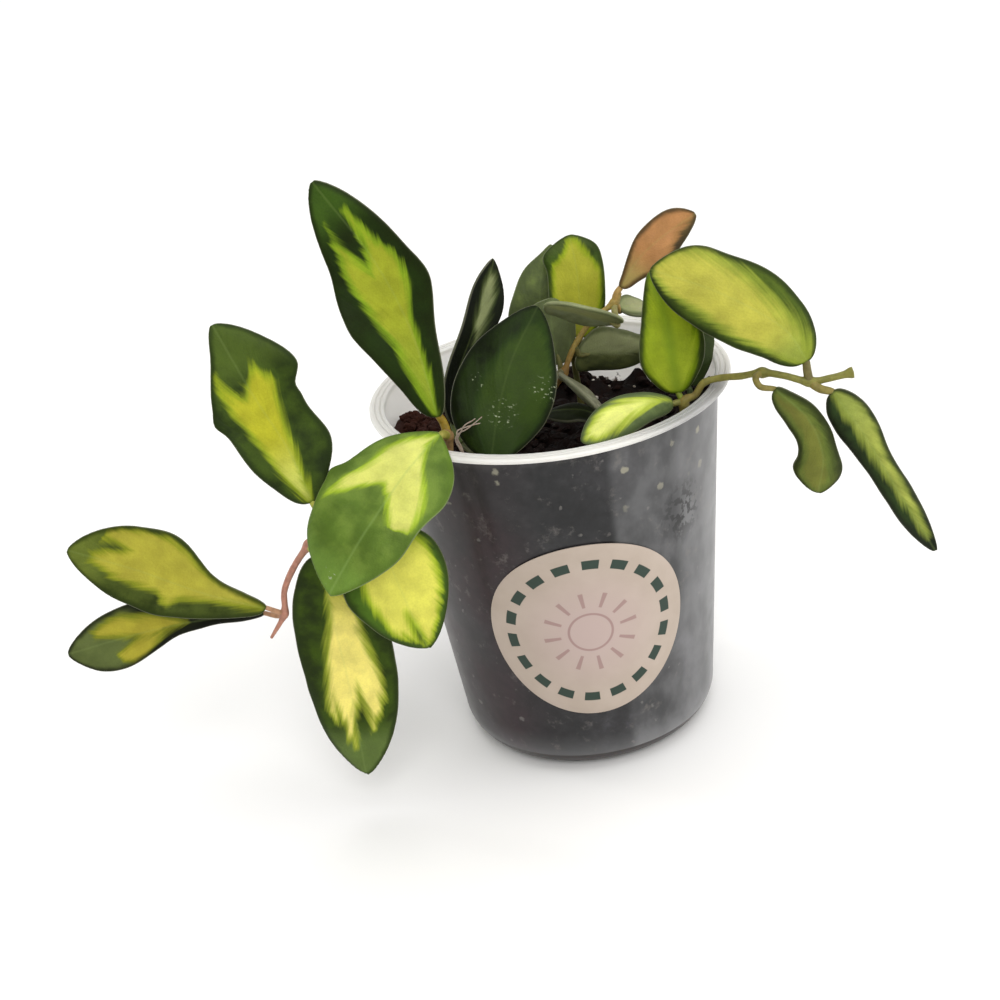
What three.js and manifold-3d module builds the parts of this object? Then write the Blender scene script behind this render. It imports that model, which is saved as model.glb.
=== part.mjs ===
// A young variegated wax plant with thick, lens-shaped leaves in a frosted nursery pot.
// Millimetres, +Z up. The origin is the middle of the pot's base, and -Y is the front.

import * as THREE from 'three';
import { mergeVertices } from 'three/addons/utils/BufferGeometryUtils.js';
import Module from 'manifold-3d';

const wasm = await Module();
wasm.setup();

// Driving dimensions of the pot: a round 10 cm nursery pot with a thin flange at its mouth.
const POT_HEIGHT = 105;
const LIP_RADIUS = 50;
const LIP_HEIGHT = 1.3;
const BODY_TOP_RADIUS = 46.5;
const BODY_FOOT_RADIUS = 36;
const FOOT_ROUNDING = 10;
const POT_WALL = 0.8;
const LIP_ROUNDING = 0.5;
const POT_SIDES = 42;
const DRAIN_HOLES = 6;
const DRAIN_HOLE_RADIUS = 3;
const DRAIN_RING_RADIUS = 19;
const DRAIN_HOLE_SIDES = 12;
const FOOT_ARC_STEPS = 5;
const LIP_ARC_STEPS = 2;

// The round paper sticker on the front of the pot.
const LABEL_RADIUS = 27.5;
const LABEL_HEIGHT = 48.5;
const LABEL_TURN = THREE.MathUtils.degToRad(3);
const LABEL_THICKNESS = 0.5;
const LABEL_RINGS = 4;
const LABEL_SPOKES = 28;

// The compost, with one bank on the left and one on the right.
const SOIL_LEVEL = 86;
const SOIL_RINGS = 8;
const SOIL_SIDES = 36;
const SOIL_BANKS = [
  { x: -43, y: 4, height: 13, spread: 20 },
  { x: 46, y: 0, height: 13, spread: 14.5 },
];
const SOIL_LUMP_HEIGHT = 1.2;
const SOIL_LUMP_SPACING = 12;

// Pieces that touch keep this gap.
const FIT_GAP = 0.3;

// A leaf blade is thickest at its midrib and has a blunt edge all round.
const RIB_THICKNESS = 2;
const EDGE_THICKNESS = 0.8;
const END_HALF_WIDTH = 0.5;
const BLADE_SPANS = 4;
const BLADE_ROWS = 12;
const SMALL_BLADE_ROWS = 9;
const NOTCHED_BLADE_ROWS = 17;

// A stalk ends in the underside of its blade. Where leaves grew, a shoot has a thicker knot.
const STALK_RADIUS = 1.15;
const SMALL_STALK_RADIUS = 0.9;
const STALK_SIDES = 6;
const KNOT_SWELLING = 0.6;
const SHOOT_SIDES = 8;
const SHOOT_STEPS = 2;

const point = ([x, y, z]) => new THREE.Vector3(x, y, z);
const curveThrough = (points) => new THREE.CatmullRomCurve3(points.map(point), false, 'catmullrom');

// Closed solids from three.js geometry, and back again.
function toSolid(geometry) {
  const plain = geometry.clone();
  plain.deleteAttribute('normal');
  plain.deleteAttribute('uv');
  const merged = mergeVertices(plain, 1e-3);
  return new wasm.Manifold(new wasm.Mesh({
    numProp: 3,
    vertProperties: new Float32Array(merged.attributes.position.array),
    triVerts: new Uint32Array(merged.index.array),
  }));
}

function toGeometry(solid) {
  const mesh = solid.getMesh();
  const geometry = new THREE.BufferGeometry();
  geometry.setAttribute('position', new THREE.BufferAttribute(mesh.vertProperties, 3));
  geometry.setIndex(new THREE.BufferAttribute(mesh.triVerts, 1));
  geometry.computeVertexNormals();
  return geometry;
}

function largestBody(solid) {
  const bodies = solid.decompose();
  return bodies.reduce((best, body) => (body.volume() > best.volume() ? body : best));
}

function piece(name, geometry, color, roughness = 0.6) {
  const material = new THREE.MeshStandardMaterial({ color, roughness, metalness: 0, flatShading: true });
  const mesh = new THREE.Mesh(geometry, material);
  mesh.name = name;
  return mesh;
}

// A round tube along a list of points, and a ball round one of them.
function tubeSolid(points, radius, sides, stepsPerSpan) {
  const section = new THREE.Shape();
  section.absarc(0, 0, radius, 0, 2 * Math.PI, false);
  const geometry = new THREE.ExtrudeGeometry(section, {
    steps: stepsPerSpan * (points.length - 1),
    curveSegments: sides / 2,
    bevelEnabled: false,
    extrudePath: curveThrough(points),
  });
  return toSolid(geometry);
}

function ballSolid(centre, radius) {
  const ball = new THREE.IcosahedronGeometry(radius, 1);
  ball.translate(...centre);
  return toSolid(ball);
}

// The pot

const bodyRadius = (z) => BODY_FOOT_RADIUS
  + (BODY_TOP_RADIUS - BODY_FOOT_RADIUS) * z / (POT_HEIGHT - LIP_HEIGHT);
const innerRadius = (z) => bodyRadius(z) - POT_WALL;

function arcPoints(centreR, centreZ, radius, from, to, steps) {
  const points = [];
  for (let i = 0; i <= steps; i += 1) {
    const angle = THREE.MathUtils.degToRad(from + (to - from) * i / steps);
    points.push(new THREE.Vector2(centreR + radius * Math.cos(angle), centreZ + radius * Math.sin(angle)));
  }
  return points;
}

function potSolid() {
  const lipFoot = POT_HEIGHT - LIP_HEIGHT;
  const footCentre = bodyRadius(FOOT_ROUNDING) - FOOT_ROUNDING;
  const insideRounding = FOOT_ROUNDING - POT_WALL;
  const profile = [
    new THREE.Vector2(0, 0),
    ...arcPoints(footCentre, FOOT_ROUNDING, FOOT_ROUNDING, -90, 0, FOOT_ARC_STEPS),
    new THREE.Vector2(BODY_TOP_RADIUS, lipFoot),
    ...arcPoints(LIP_RADIUS - LIP_ROUNDING, lipFoot + LIP_ROUNDING, LIP_ROUNDING, -90, 0, LIP_ARC_STEPS),
    ...arcPoints(LIP_RADIUS - LIP_ROUNDING, POT_HEIGHT - LIP_ROUNDING, LIP_ROUNDING, 0, 90, LIP_ARC_STEPS),
    new THREE.Vector2(innerRadius(POT_HEIGHT), POT_HEIGHT),
    ...arcPoints(footCentre, FOOT_ROUNDING, insideRounding, 0, -90, FOOT_ARC_STEPS),
    new THREE.Vector2(0, POT_WALL),
  ];
  let pot = toSolid(new THREE.LatheGeometry(profile, POT_SIDES).rotateX(Math.PI / 2));
  for (let i = 0; i < DRAIN_HOLES; i += 1) {
    const turn = 2 * Math.PI * i / DRAIN_HOLES;
    const drill = new THREE.CylinderGeometry(
      DRAIN_HOLE_RADIUS, DRAIN_HOLE_RADIUS, 4 * POT_WALL, DRAIN_HOLE_SIDES,
    );
    drill.rotateX(Math.PI / 2);
    drill.translate(DRAIN_RING_RADIUS * Math.cos(turn), DRAIN_RING_RADIUS * Math.sin(turn), 0);
    pot = pot.subtract(toSolid(drill));
  }
  return pot;
}

// The sticker: a disc bent round the tapered wall, a hair's breadth off it.
function labelGeometry() {
  const rings = LABEL_RINGS;
  const spokes = LABEL_SPOKES;
  const onWall = (ring, spoke, lift) => {
    const angle = 2 * Math.PI * spoke / spokes;
    const reach = LABEL_RADIUS * ring / rings;
    const z = LABEL_HEIGHT + reach * Math.sin(angle);
    const radius = bodyRadius(z) + lift;
    const turn = LABEL_TURN + reach * Math.cos(angle) / bodyRadius(LABEL_HEIGHT);
    return [radius * Math.sin(turn), -radius * Math.cos(turn), z];
  };
  const positions = [];
  for (const lift of [FIT_GAP + LABEL_THICKNESS, FIT_GAP]) {
    positions.push(...onWall(0, 0, lift));
    for (let ring = 1; ring <= rings; ring += 1) {
      for (let spoke = 0; spoke < spokes; spoke += 1) positions.push(...onWall(ring, spoke, lift));
    }
  }
  const side = 1 + rings * spokes;
  const at = (ring, spoke) => (ring === 0 ? 0 : 1 + (ring - 1) * spokes + (spoke % spokes));
  const index = [];
  const both = (a, b, c) => index.push(a, b, c, a + side, c + side, b + side);
  for (let spoke = 0; spoke < spokes; spoke += 1) {
    both(0, at(1, spoke), at(1, spoke + 1));
    for (let ring = 1; ring < rings; ring += 1) {
      both(at(ring, spoke), at(ring + 1, spoke), at(ring + 1, spoke + 1));
      both(at(ring, spoke), at(ring + 1, spoke + 1), at(ring, spoke + 1));
    }
    const here = at(rings, spoke);
    const next = at(rings, spoke + 1);
    index.push(here, here + side, next + side, here, next + side, next);
  }
  const geometry = new THREE.BufferGeometry();
  geometry.setAttribute('position', new THREE.Float32BufferAttribute(positions, 3));
  geometry.setIndex(index);
  return geometry;
}

// The shoots. Each runs up out of the compost, and a knot marks each pair of leaves.

const STEM = 0x8f8a4a;
const DRY_STEM = 0xb59a7a;

const SHOOTS = {
  stem_left: {
    radius: 1.1, color: STEM,
    path: [[-28, -28, 78], [-29, -31, 94], [-27.7, -33, 107.4], [-32.4, -39, 107.3],
      [-36.5, -43.5, 103.3], [-46.8, -48, 99.7], [-59.8, -47, 95.6], [-66.8, -47, 88.5],
      [-71.8, -46, 82.4], [-75.8, -45, 75.3], [-77.3, -44.5, 68.2], [-81.8, -45.5, 62.1]],
    knots: [[-27.7, -33, 107.4], [-59.8, -47, 95.6], [-66.8, -47, 88.5], [-77.3, -44.5, 68.2]],
  },
  stem_right: {
    radius: 0.95, color: STEM,
    path: [[34, -16, 78], [34.5, -17.5, 92], [34.9, -19.5, 101.5], [38.2, -19, 103.2],
      [40.8, -18.6, 106.1], [45.3, -19.5, 107.2], [50.3, -23, 108.4], [55.4, -26, 109.8],
      [60.8, -29, 109.3], [66.8, -30, 107.2], [72.7, -30, 107.4], [78.2, -30, 108.1]],
    knots: [[34.9, -19.5, 101.5], [55.4, -26, 109.8], [66.8, -30, 107.2]],
  },
  stem_centre: {
    radius: 0.85, color: STEM,
    path: [[-6, 5, 76], [-5, 4.5, 92], [1, 2.2, 101.5], [4.4, 1.5, 106.1], [8.4, 3, 113.1],
      [13.9, 5.5, 118.6], [20.8, 8, 122.1], [22.8, 8.5, 124.6]],
    knots: [[4.4, 1.5, 106.1], [20.8, 8, 122.1]],
  },
  stem_front: {
    radius: 1, color: STEM,
    path: [[-13, -36, 78], [-15.5, -34.5, 92], [-20, -28, 96.5], [-25.9, -17, 97.9]],
    knots: [[-17.5, -31.8, 95]],
  },
  stem_back: {
    radius: 1, color: STEM,
    path: [[9, 22, 76], [8.5, 21, 90], [7.9, 19.5, 104.6]],
    knots: [[7.9, 19.5, 104.6]],
  },
  stem_side: {
    radius: 0.9, color: STEM,
    path: [[37.5, -4, 76], [38, -4, 90], [38.2, -4, 96.5]],
    knots: [[38.2, -4, 96.5]],
  },
  dry_root: {
    radius: 0.6, color: DRY_STEM,
    path: [[-20.5, -31, 80], [-22, -34.5, 93], [-24.3, -36, 103], [-25.4, -36.5, 107.6],
      [-23.6, -37, 110.4], [-19, -37, 112.3]],
    knots: [],
  },
};

// Each leaf grows on a knot of its shoot. rib runs from the foot of the blade to its tip, face is
// where the upper side looks, and left and right are half-widths at a tenth, three tenths and so on.
const GREEN = 0x3f5f28;
const LIME = 0xb4b944;
const GREY_GREEN = 0x5f6b52;
const COPPER = 0xc0885a;

const LEAVES = {
  leaf_tall: {
    on: 'stem_left', color: GREEN, petiole: [[-27.7, -33, 107.4], [-28.3, -31.8, 110.6]],
    rib: [[-29.4, -33, 113], [-32.9, -27, 135.4], [-39.9, -22, 154.3], [-51.8, -18, 174.7]],
    face: [-0.1, -1, 0.25], left: [6, 12, 14, 11, 6], right: [3.5, 5.5, 10, 8, 4.5], cup: 2.5, wave: 0.5,
  },
  leaf_front: {
    on: 'stem_left', color: GREEN, petiole: [[-27.7, -33, 107.4], [-28.7, -36, 109.2]],
    rib: [[-29.4, -37.5, 110.1], [-39.9, -51, 104.8], [-50.8, -59, 94.9], [-61.8, -62, 81.3]],
    face: [-0.2, -0.8, 0.6], left: [6.6, 12.5, 11, 10, 4.8], right: [8.5, 14.3, 16.7, 15.7, 10.4],
    cup: -1.5, wave: 0.6, notches: [{ side: 1, at: 0.46, depth: -1.3, width: 0.05 }],
  },
  leaf_notched: {
    on: 'stem_left', color: GREEN, petiole: [[-59.8, -47, 95.6], [-62.3, -46.5, 97.6]],
    rib: [[-63.8, -45.5, 99.6], [-67.8, -41, 113.1], [-74.7, -37, 128.5], [-81.7, -32, 145.9]],
    face: [0.1, -1, 0.3], left: [5.8, 9.8, 10.6, 9.9, 3.6], right: [5.5, 10.7, 9.8, 13.7, 7.2],
    cup: 1.5, wave: 1,
    notches: [{ side: 1, at: 0.6, depth: 2, width: 0.045 },
      { side: -1, at: 0.62, depth: -1.3, width: 0.045 }],
  },
  leaf_tucked: {
    on: 'stem_left', color: LIME, petiole: [[-59.8, -47, 95.6], [-55.3, -48.5, 95.7]],
    rib: [[-49.3, -50, 93.2], [-46.8, -51.5, 83.1], [-43.9, -52, 69.5], [-40.9, -50, 55.3]],
    face: [0.2, -1, 0.2], left: [7, 12, 13, 11, 5.5], right: [7, 12, 13.5, 10.5, 5.5], cup: -1, wave: 0.5,
  },
  leaf_low: {
    on: 'stem_left', color: LIME, petiole: [[-66.8, -47, 88.5], [-65.8, -48, 87.5]],
    rib: [[-64.6, -48, 86], [-64.3, -47.5, 67.3], [-63.9, -45.5, 42.4], [-64.9, -42, 13.4]],
    face: [0, -1, 0.2], left: [7, 12.5, 13, 12, 7], right: [6, 10, 11, 10.5, 6.5], cup: -1.5, wave: 0.6,
  },
  leaf_far_upper: {
    on: 'stem_left', color: LIME, petiole: [[-77.3, -44.5, 68.2], [-79.3, -45.4, 69.9]],
    rib: [[-81.6, -45.3, 71], [-97.3, -46, 78.8], [-112.7, -44, 86.8], [-130.2, -40, 93.2]],
    face: [0, -1, 0.3], left: [3.5, 6.5, 9, 9, 5], right: [2, 4.8, 11.5, 11, 6], cup: 1, wave: 0.4,
  },
  leaf_far_lower: {
    on: 'stem_left', color: GREEN, petiole: [[-77.3, -44.5, 68.2], [-79.6, -42.6, 66.8]],
    rib: [[-83.3, -41.5, 67.6], [-101.3, -37.5, 66], [-119.8, -34.5, 62.8], [-139.8, -33, 58.6]],
    face: [0, -1, 0.3], left: [1.2, 1.5, 3.4, 7.2, 6], right: [2, 4, 7.5, 8, 4.5], cup: 1, wave: 0.3,
  },
  leaf_lime: {
    on: 'stem_right', color: LIME, small: true, petiole: [[34.9, -19.5, 101.5], [34.4, -19, 102.7]],
    rib: [[33.7, -18.5, 104.2], [33.3, -15.5, 113.2], [32.8, -11, 123.6], [30.7, -5, 134]],
    face: [0, -1, 0.3], left: [5, 8, 7.5, 5.5, 2.5], right: [4.5, 8, 8.5, 6, 3], cup: 1.5, wave: 0.2,
  },
  leaf_rim: {
    on: 'stem_right', color: LIME, small: true, petiole: [[34.9, -19.5, 101.5], [33.4, -19.8, 102]],
    rib: [[31.9, -20.5, 102.4], [24.4, -24, 104.3], [14.9, -28.5, 103.4], [6.5, -32.5, 100.1]],
    face: [0, -0.7, 0.7], left: [2.5, 4, 5, 5, 3.5], right: [2, 4, 5, 4.5, 2.5], cup: -0.8, wave: 0.3,
  },
  leaf_hanging: {
    on: 'stem_right', color: LIME, small: true,
    petiole: [[55.4, -26, 109.8], [53.3, -28.5, 109.7], [54.1, -31, 108]],
    rib: [[57.8, -31, 106.9], [65.3, -32, 98.1], [68.4, -33, 87.5], [66.9, -31, 75.4]],
    face: [0, -1, 0.1], left: [1.5, 3, 3.5, 4, 4.5], right: [3.5, 5, 5, 6, 5.5], cup: -1.5, wave: 0.3,
  },
  leaf_arch: {
    on: 'stem_right', color: LIME, petiole: [[66.8, -30, 107.2], [66.5, -30, 110.1]],
    rib: [[66.7, -30, 112.9], [60.7, -29.5, 123.2], [46.2, -27, 133.6], [29.7, -21, 140.4]],
    face: [0, -1, 0.3], left: [6.3, 8.8, 10.5, 10, 6], right: [3.5, 7, 10, 9.5, 6.5], cup: -1.5, wave: 0.5,
  },
  leaf_long: {
    on: 'stem_right', color: LIME, petiole: [[66.8, -30, 107.2], [69.3, -31.5, 105.4]],
    rib: [[72.3, -32, 104.4], [79.3, -33, 92.1], [87.4, -33, 74.4], [97.4, -31, 53.2]],
    face: [0, -1, 0.1], left: [3.5, 4.5, 3, 3.2, 2], right: [4, 5.2, 4, 3.6, 2.6], cup: -1.5, wave: 0.3,
  },
  leaf_roof: {
    on: 'stem_centre', color: GREY_GREEN, small: true, petiole: [[20.8, 8, 122.1], [20.6, 6, 120.1]],
    rib: [[21.4, 4, 117.6], [15.5, 0, 122], [8.2, -4, 126.9], [1.9, -7, 129.9]],
    face: [0.1, 0.6, 0.85], left: [3.5, 5.5, 6, 5.5, 3.5], right: [3.5, 5.5, 6, 5.5, 3.5],
    cup: -1, wave: 0.2,
  },
  leaf_copper: {
    on: 'stem_centre', color: COPPER, small: true, petiole: [[20.8, 8, 122.1], [21.8, 8.3, 124.6]],
    rib: [[23.1, 8.5, 126.1], [29, 9.5, 133.1], [36.5, 10, 138.6], [45.6, 11, 143.1]],
    face: [-0.3, -1, 0.2], left: [1, 2.5, 4.5, 5, 3.5], right: [2.5, 5, 6, 5, 2.5], cup: 1, wave: 0.3,
  },
  leaf_bud: {
    on: 'stem_centre', color: GREY_GREEN, small: true, petiole: [[20.8, 8, 122.1], [21.6, 9.6, 120.5]],
    rib: [[22.3, 10.5, 119.1], [25.3, 13.5, 118], [28.3, 17, 116.1], [31.3, 21, 113.2]],
    face: [0, -0.6, 0.8], left: [2, 3, 3.5, 3, 2], right: [2, 3, 3.5, 3, 2], cup: 0.5, wave: 0.1,
  },
  leaf_side: {
    on: 'stem_centre', color: GREY_GREEN, small: true, petiole: [[8.4, 3, 113.1], [8.9, 4, 111.1]],
    rib: [[9.9, 5.5, 109.8], [16.4, 10, 107.7], [24.4, 14, 105.3], [31.8, 17, 104.3]],
    face: [-0.1, 0.9, 0.3], left: [5, 7, 7, 6, 3.5], right: [5, 7, 7, 6, 3.5], cup: 1, wave: 0.4,
  },
  leaf_slim: {
    on: 'stem_centre', color: GREY_GREEN, small: true, petiole: [[4.4, 1.5, 106.1], [3.4, 0, 107.1]],
    rib: [[3.7, -2.5, 107.7], [6.9, -7, 105.3], [10.4, -11.5, 102.4], [13.9, -15.5, 99.5]],
    face: [0.7, 0.15, 0.65], left: [2.5, 4, 4.5, 4, 2.5], right: [2.5, 4, 4.5, 4, 2.5], cup: 0.8, wave: 0.2,
  },
  leaf_inner: {
    on: 'stem_centre', color: GREY_GREEN, small: true, petiole: [[4.4, 1.5, 106.1], [3.9, 2.8, 106.9]],
    rib: [[3.7, 3.8, 108], [2.9, 5, 114.5], [2.9, 6.5, 120.5], [4.4, 8, 126]],
    face: [-0.2, 1, -0.2], left: [4, 6, 6.5, 6, 3.5], right: [4, 6, 6.5, 6, 3.5], cup: 0.8, wave: 0.2,
  },
  leaf_shade: {
    on: 'stem_centre', color: GREY_GREEN, small: true, petiole: [[-5, 4.5, 92], [-4, 2.8, 93.6]],
    rib: [[-1.5, 1, 95], [3, -1.5, 96], [8, -3.5, 96], [13, -5.5, 94.5]],
    face: [0, -0.3, 1], left: [2, 3, 3.5, 3, 2], right: [2, 3, 3.5, 3, 2], cup: -0.4, wave: 0.2,
  },
  leaf_dark: {
    on: 'stem_front', color: GREEN, petiole: [[-17.5, -31.8, 95], [-17.8, -34, 96]],
    rib: [[-17.4, -35, 99.9], [-14, -29.5, 110.4], [-8.5, -22.5, 121.8], [-0.1, -14, 132.1]],
    face: [-0.1, -1, 0.3], left: [7.5, 12, 12.5, 10, 4.5], right: [7, 11.5, 13, 11.5, 6], cup: -2, wave: 0.6,
  },
  leaf_narrow: {
    on: 'stem_front', color: GREEN, petiole: [[-25.4, -17.8, 98], [-26.2, -16, 99.7]],
    rib: [[-26.4, -14, 101.9], [-25.2, -8, 112.3], [-18, 0, 125.2], [-10.3, 8, 139.5]],
    face: [0.7, -0.7, 0.1], left: [3, 4, 3.5, 3.5, 3], right: [3, 3.6, 3.4, 6.3, 5], cup: 1.5, wave: 0.4,
  },
  leaf_grey: {
    on: 'stem_back', color: GREY_GREEN, small: true, petiole: [[7.9, 19.5, 104.6], [5.9, 19.5, 106.1]],
    rib: [[3.4, 19.5, 108.6], [0.9, 20.5, 118.2], [1.9, 23.5, 127.1], [6.3, 28, 134.5]],
    face: [0, 1, -0.2], left: [5.5, 7.5, 8, 7, 4.5], right: [8, 9.5, 7, 4.5, 1.5], cup: 0.8, wave: 0.3,
  },
  leaf_yellow: {
    on: 'stem_back', color: LIME, small: true, petiole: [[7.9, 19.5, 104.6], [9.4, 18.5, 106.7]],
    rib: [[10.9, 17.5, 109.7], [11.7, 18, 119.3], [12, 20, 129.7], [11.3, 22.5, 138.5]],
    face: [0, -1, 0.2], left: [5, 8, 8, 8, 6.5], right: [4, 6.5, 7, 7, 5], cup: 0.8, wave: 0.3,
  },
  leaf_corner: {
    on: 'stem_side', color: GREEN, small: true, petiole: [[38.2, -4, 96.5], [38.1, -3.8, 98]],
    rib: [[38.2, -3.5, 99.3], [39.3, -1, 104.2], [41.8, 2, 109.2], [45.3, 5.5, 113.6]],
    face: [0.3, -1, 0.2], left: [4, 6.5, 7, 6.5, 4], right: [3, 4.5, 5, 4.5, 3], cup: 1, wave: 0.2,
  },
};

const ribOf = (leaf) => curveThrough(leaf.rib);

// A smooth half-width between the measured ones, with a round foot and a slimmer tip.
function halfWidth(leaf, sign, t) {
  const widths = sign < 0 ? leaf.left : leaf.right;
  const ends = (s) => (4 * s * (1 - s)) ** (0.5 + 0.25 * s);
  const share = widths.map((width, i) => width / ends(0.1 + 0.2 * i));
  const place = THREE.MathUtils.clamp((t - 0.1) / 0.2, 0, widths.length - 1);
  const i = Math.min(Math.floor(place), widths.length - 2);
  const near = (k) => share[THREE.MathUtils.clamp(k, 0, widths.length - 1)];
  const slope = (k) => (near(k + 1) - near(k - 1)) / 2;
  const u = place - i;
  const smooth = near(i) * (2 * u ** 3 - 3 * u ** 2 + 1) + slope(i) * (u ** 3 - 2 * u ** 2 + u)
    + near(i + 1) * (3 * u ** 2 - 2 * u ** 3) + slope(i + 1) * (u ** 3 - u ** 2);
  const nicks = (leaf.notches ?? []).filter((notch) => notch.side === sign)
    .reduce((sum, notch) => sum + notch.depth * Math.exp(-(((t - notch.at) / notch.width) ** 2)), 0);
  return END_HALF_WIDTH + smooth * ends(t) - nicks;
}

function ribFrame(rib, face, t) {
  const along = rib.getTangent(t).normalize();
  const across = along.clone().cross(point(face)).normalize();
  return { centre: rib.getPoint(t), along, across, up: across.clone().cross(along).normalize() };
}

function rowsOf(leaf) {
  if (leaf.notches) return NOTCHED_BLADE_ROWS;
  return leaf.small ? SMALL_BLADE_ROWS : BLADE_ROWS;
}

// How far the middle of the blade lifts off its flat plane, and how thick it is there.
function bladeLift(leaf, s, t, reach) {
  const widest = Math.max(...leaf.left, ...leaf.right);
  return leaf.cup * (reach / widest) ** 2 + leaf.wave * s ** 2 * Math.sin(3 * Math.PI * t + 2 * s);
}

function bladeThickness(s, t) {
  const swell = Math.sqrt(1 - s ** 2) * Math.sqrt(Math.sin(Math.PI * t));
  return EDGE_THICKNESS + (RIB_THICKNESS - EDGE_THICKNESS) * swell;
}

// The blade: rows of points across the midrib, the same above and below, closed all round.
function bladeGeometry(leaf) {
  const rows = rowsOf(leaf);
  const spans = BLADE_SPANS;
  const rib = ribOf(leaf);
  const positions = [];
  for (const side of [1, -1]) {
    for (let row = 0; row <= rows; row += 1) {
      const t = (1 - Math.cos(Math.PI * row / rows)) / 2;
      const { centre, across, up } = ribFrame(rib, leaf.face, t);
      for (let column = 0; column <= spans; column += 1) {
        const s = Math.sin(Math.PI * (column / spans - 0.5));
        const reach = s * halfWidth(leaf, s < 0 ? -1 : 1, t);
        const height = bladeLift(leaf, s, t, reach) + side * bladeThickness(s, t) / 2;
        const place = centre.clone().addScaledVector(across, reach).addScaledVector(up, height);
        positions.push(place.x, place.y, place.z);
      }
    }
  }
  const width = spans + 1;
  const below = width * (rows + 1);
  const index = [];
  const quad = (a, b, c, d) => index.push(a, b, c, a, c, d);
  for (let row = 0; row < rows; row += 1) {
    for (let column = 0; column < spans; column += 1) {
      const a = row * width + column;
      quad(a, a + 1, a + width + 1, a + width);
      index.push(a + below, a + width + 1 + below, a + 1 + below);
      index.push(a + below, a + width + below, a + width + 1 + below);
    }
    const right = row * width + spans;
    const left = row * width;
    quad(right, right + below, right + width + below, right + width);
    quad(left, left + width, left + width + below, left + below);
  }
  for (let column = 0; column < spans; column += 1) {
    const tip = rows * width + column;
    quad(column, column + below, column + 1 + below, column + 1);
    quad(tip, tip + 1, tip + 1 + below, tip + below);
  }
  const geometry = new THREE.BufferGeometry();
  geometry.setAttribute('position', new THREE.Float32BufferAttribute(positions, 3));
  geometry.setIndex(index);
  return geometry;
}

// The leaf stalk runs from the knot into the underside of the blade.
function leafSolid(leaf) {
  const rib = ribOf(leaf);
  const under = (t, depth) => {
    const { centre, up } = ribFrame(rib, leaf.face, t);
    return centre.addScaledVector(up, -depth).toArray();
  };
  const path = [...leaf.petiole, under(0.02, 0.2), under(0.16, 0.5)];
  const stalk = tubeSolid(path, leaf.small ? SMALL_STALK_RADIUS : STALK_RADIUS, STALK_SIDES, 1);
  return toSolid(bladeGeometry(leaf)).add(stalk);
}

// A gap makes the shoot fatter and its foot longer, for the hole it stands in.
function shootSolid(shoot, gap = 0) {
  const [[x, y, z], ...rest] = shoot.path;
  let solid = tubeSolid([[x, y, z - gap], ...rest], shoot.radius + gap, SHOOT_SIDES, SHOOT_STEPS);
  for (const knot of shoot.knots) {
    solid = solid.add(ballSolid(knot, shoot.radius + KNOT_SWELLING + gap));
  }
  return solid;
}

// The compost fills the pot up to a lumpy top with banks.

function soilHeight(x, y) {
  const banks = SOIL_BANKS.map((bank) => bank.height
    * Math.exp(-((x - bank.x) ** 2 + (y - bank.y) ** 2) / bank.spread ** 2));
  const pitch = 2 * Math.PI / SOIL_LUMP_SPACING;
  const lumps = SOIL_LUMP_HEIGHT * Math.sin(pitch * x) * Math.cos(pitch * y);
  return SOIL_LEVEL + banks.reduce((sum, height) => sum + height) + lumps;
}

function soilSolid() {
  const footCentre = bodyRadius(FOOT_ROUNDING) - FOOT_ROUNDING;
  const profile = [
    new THREE.Vector2(0, POT_WALL + FIT_GAP),
    ...arcPoints(footCentre, FOOT_ROUNDING, FOOT_ROUNDING - POT_WALL - FIT_GAP, -90, 0, FOOT_ARC_STEPS),
  ];
  const edge = innerRadius(SOIL_LEVEL) - FIT_GAP;
  for (let ring = 0; ring <= SOIL_RINGS; ring += 1) {
    profile.push(new THREE.Vector2(edge * (1 - ring / SOIL_RINGS), SOIL_LEVEL));
  }
  const geometry = new THREE.LatheGeometry(profile, SOIL_SIDES).rotateX(Math.PI / 2);
  const places = geometry.attributes.position;
  for (let i = 0; i < places.count; i += 1) {
    if (places.getZ(i) > SOIL_LEVEL - 0.01) places.setZ(i, soilHeight(places.getX(i), places.getY(i)));
  }
  return toSolid(geometry);
}

// Assembly

const plant = new THREE.Group();
plant.name = 'potted_plant';

plant.add(piece('pot', toGeometry(potSolid()), 0xb9b6b2, 0.35));
plant.add(piece('label', labelGeometry(), 0xcdbfb4, 0.8));

let soil = soilSolid();
for (const [name, shoot] of Object.entries(SHOOTS)) {
  plant.add(piece(name, toGeometry(shootSolid(shoot)), shoot.color));
  soil = soil.subtract(shootSolid(shoot, FIT_GAP));
}
plant.add(piece('soil', toGeometry(largestBody(soil)), 0x2a1a12, 1));

for (const [name, leaf] of Object.entries(LEAVES)) {
  const blade = leafSolid(leaf).subtract(shootSolid(SHOOTS[leaf.on], FIT_GAP));
  plant.add(piece(name, toGeometry(largestBody(blade)), leaf.color, 0.5));
}

export default plant;
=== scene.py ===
"""A young variegated wax plant in a frosted nursery pot, dressed for the picture."""
import math
import random

import bmesh
import bpy
from mathutils import Matrix, Vector, noise


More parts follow.
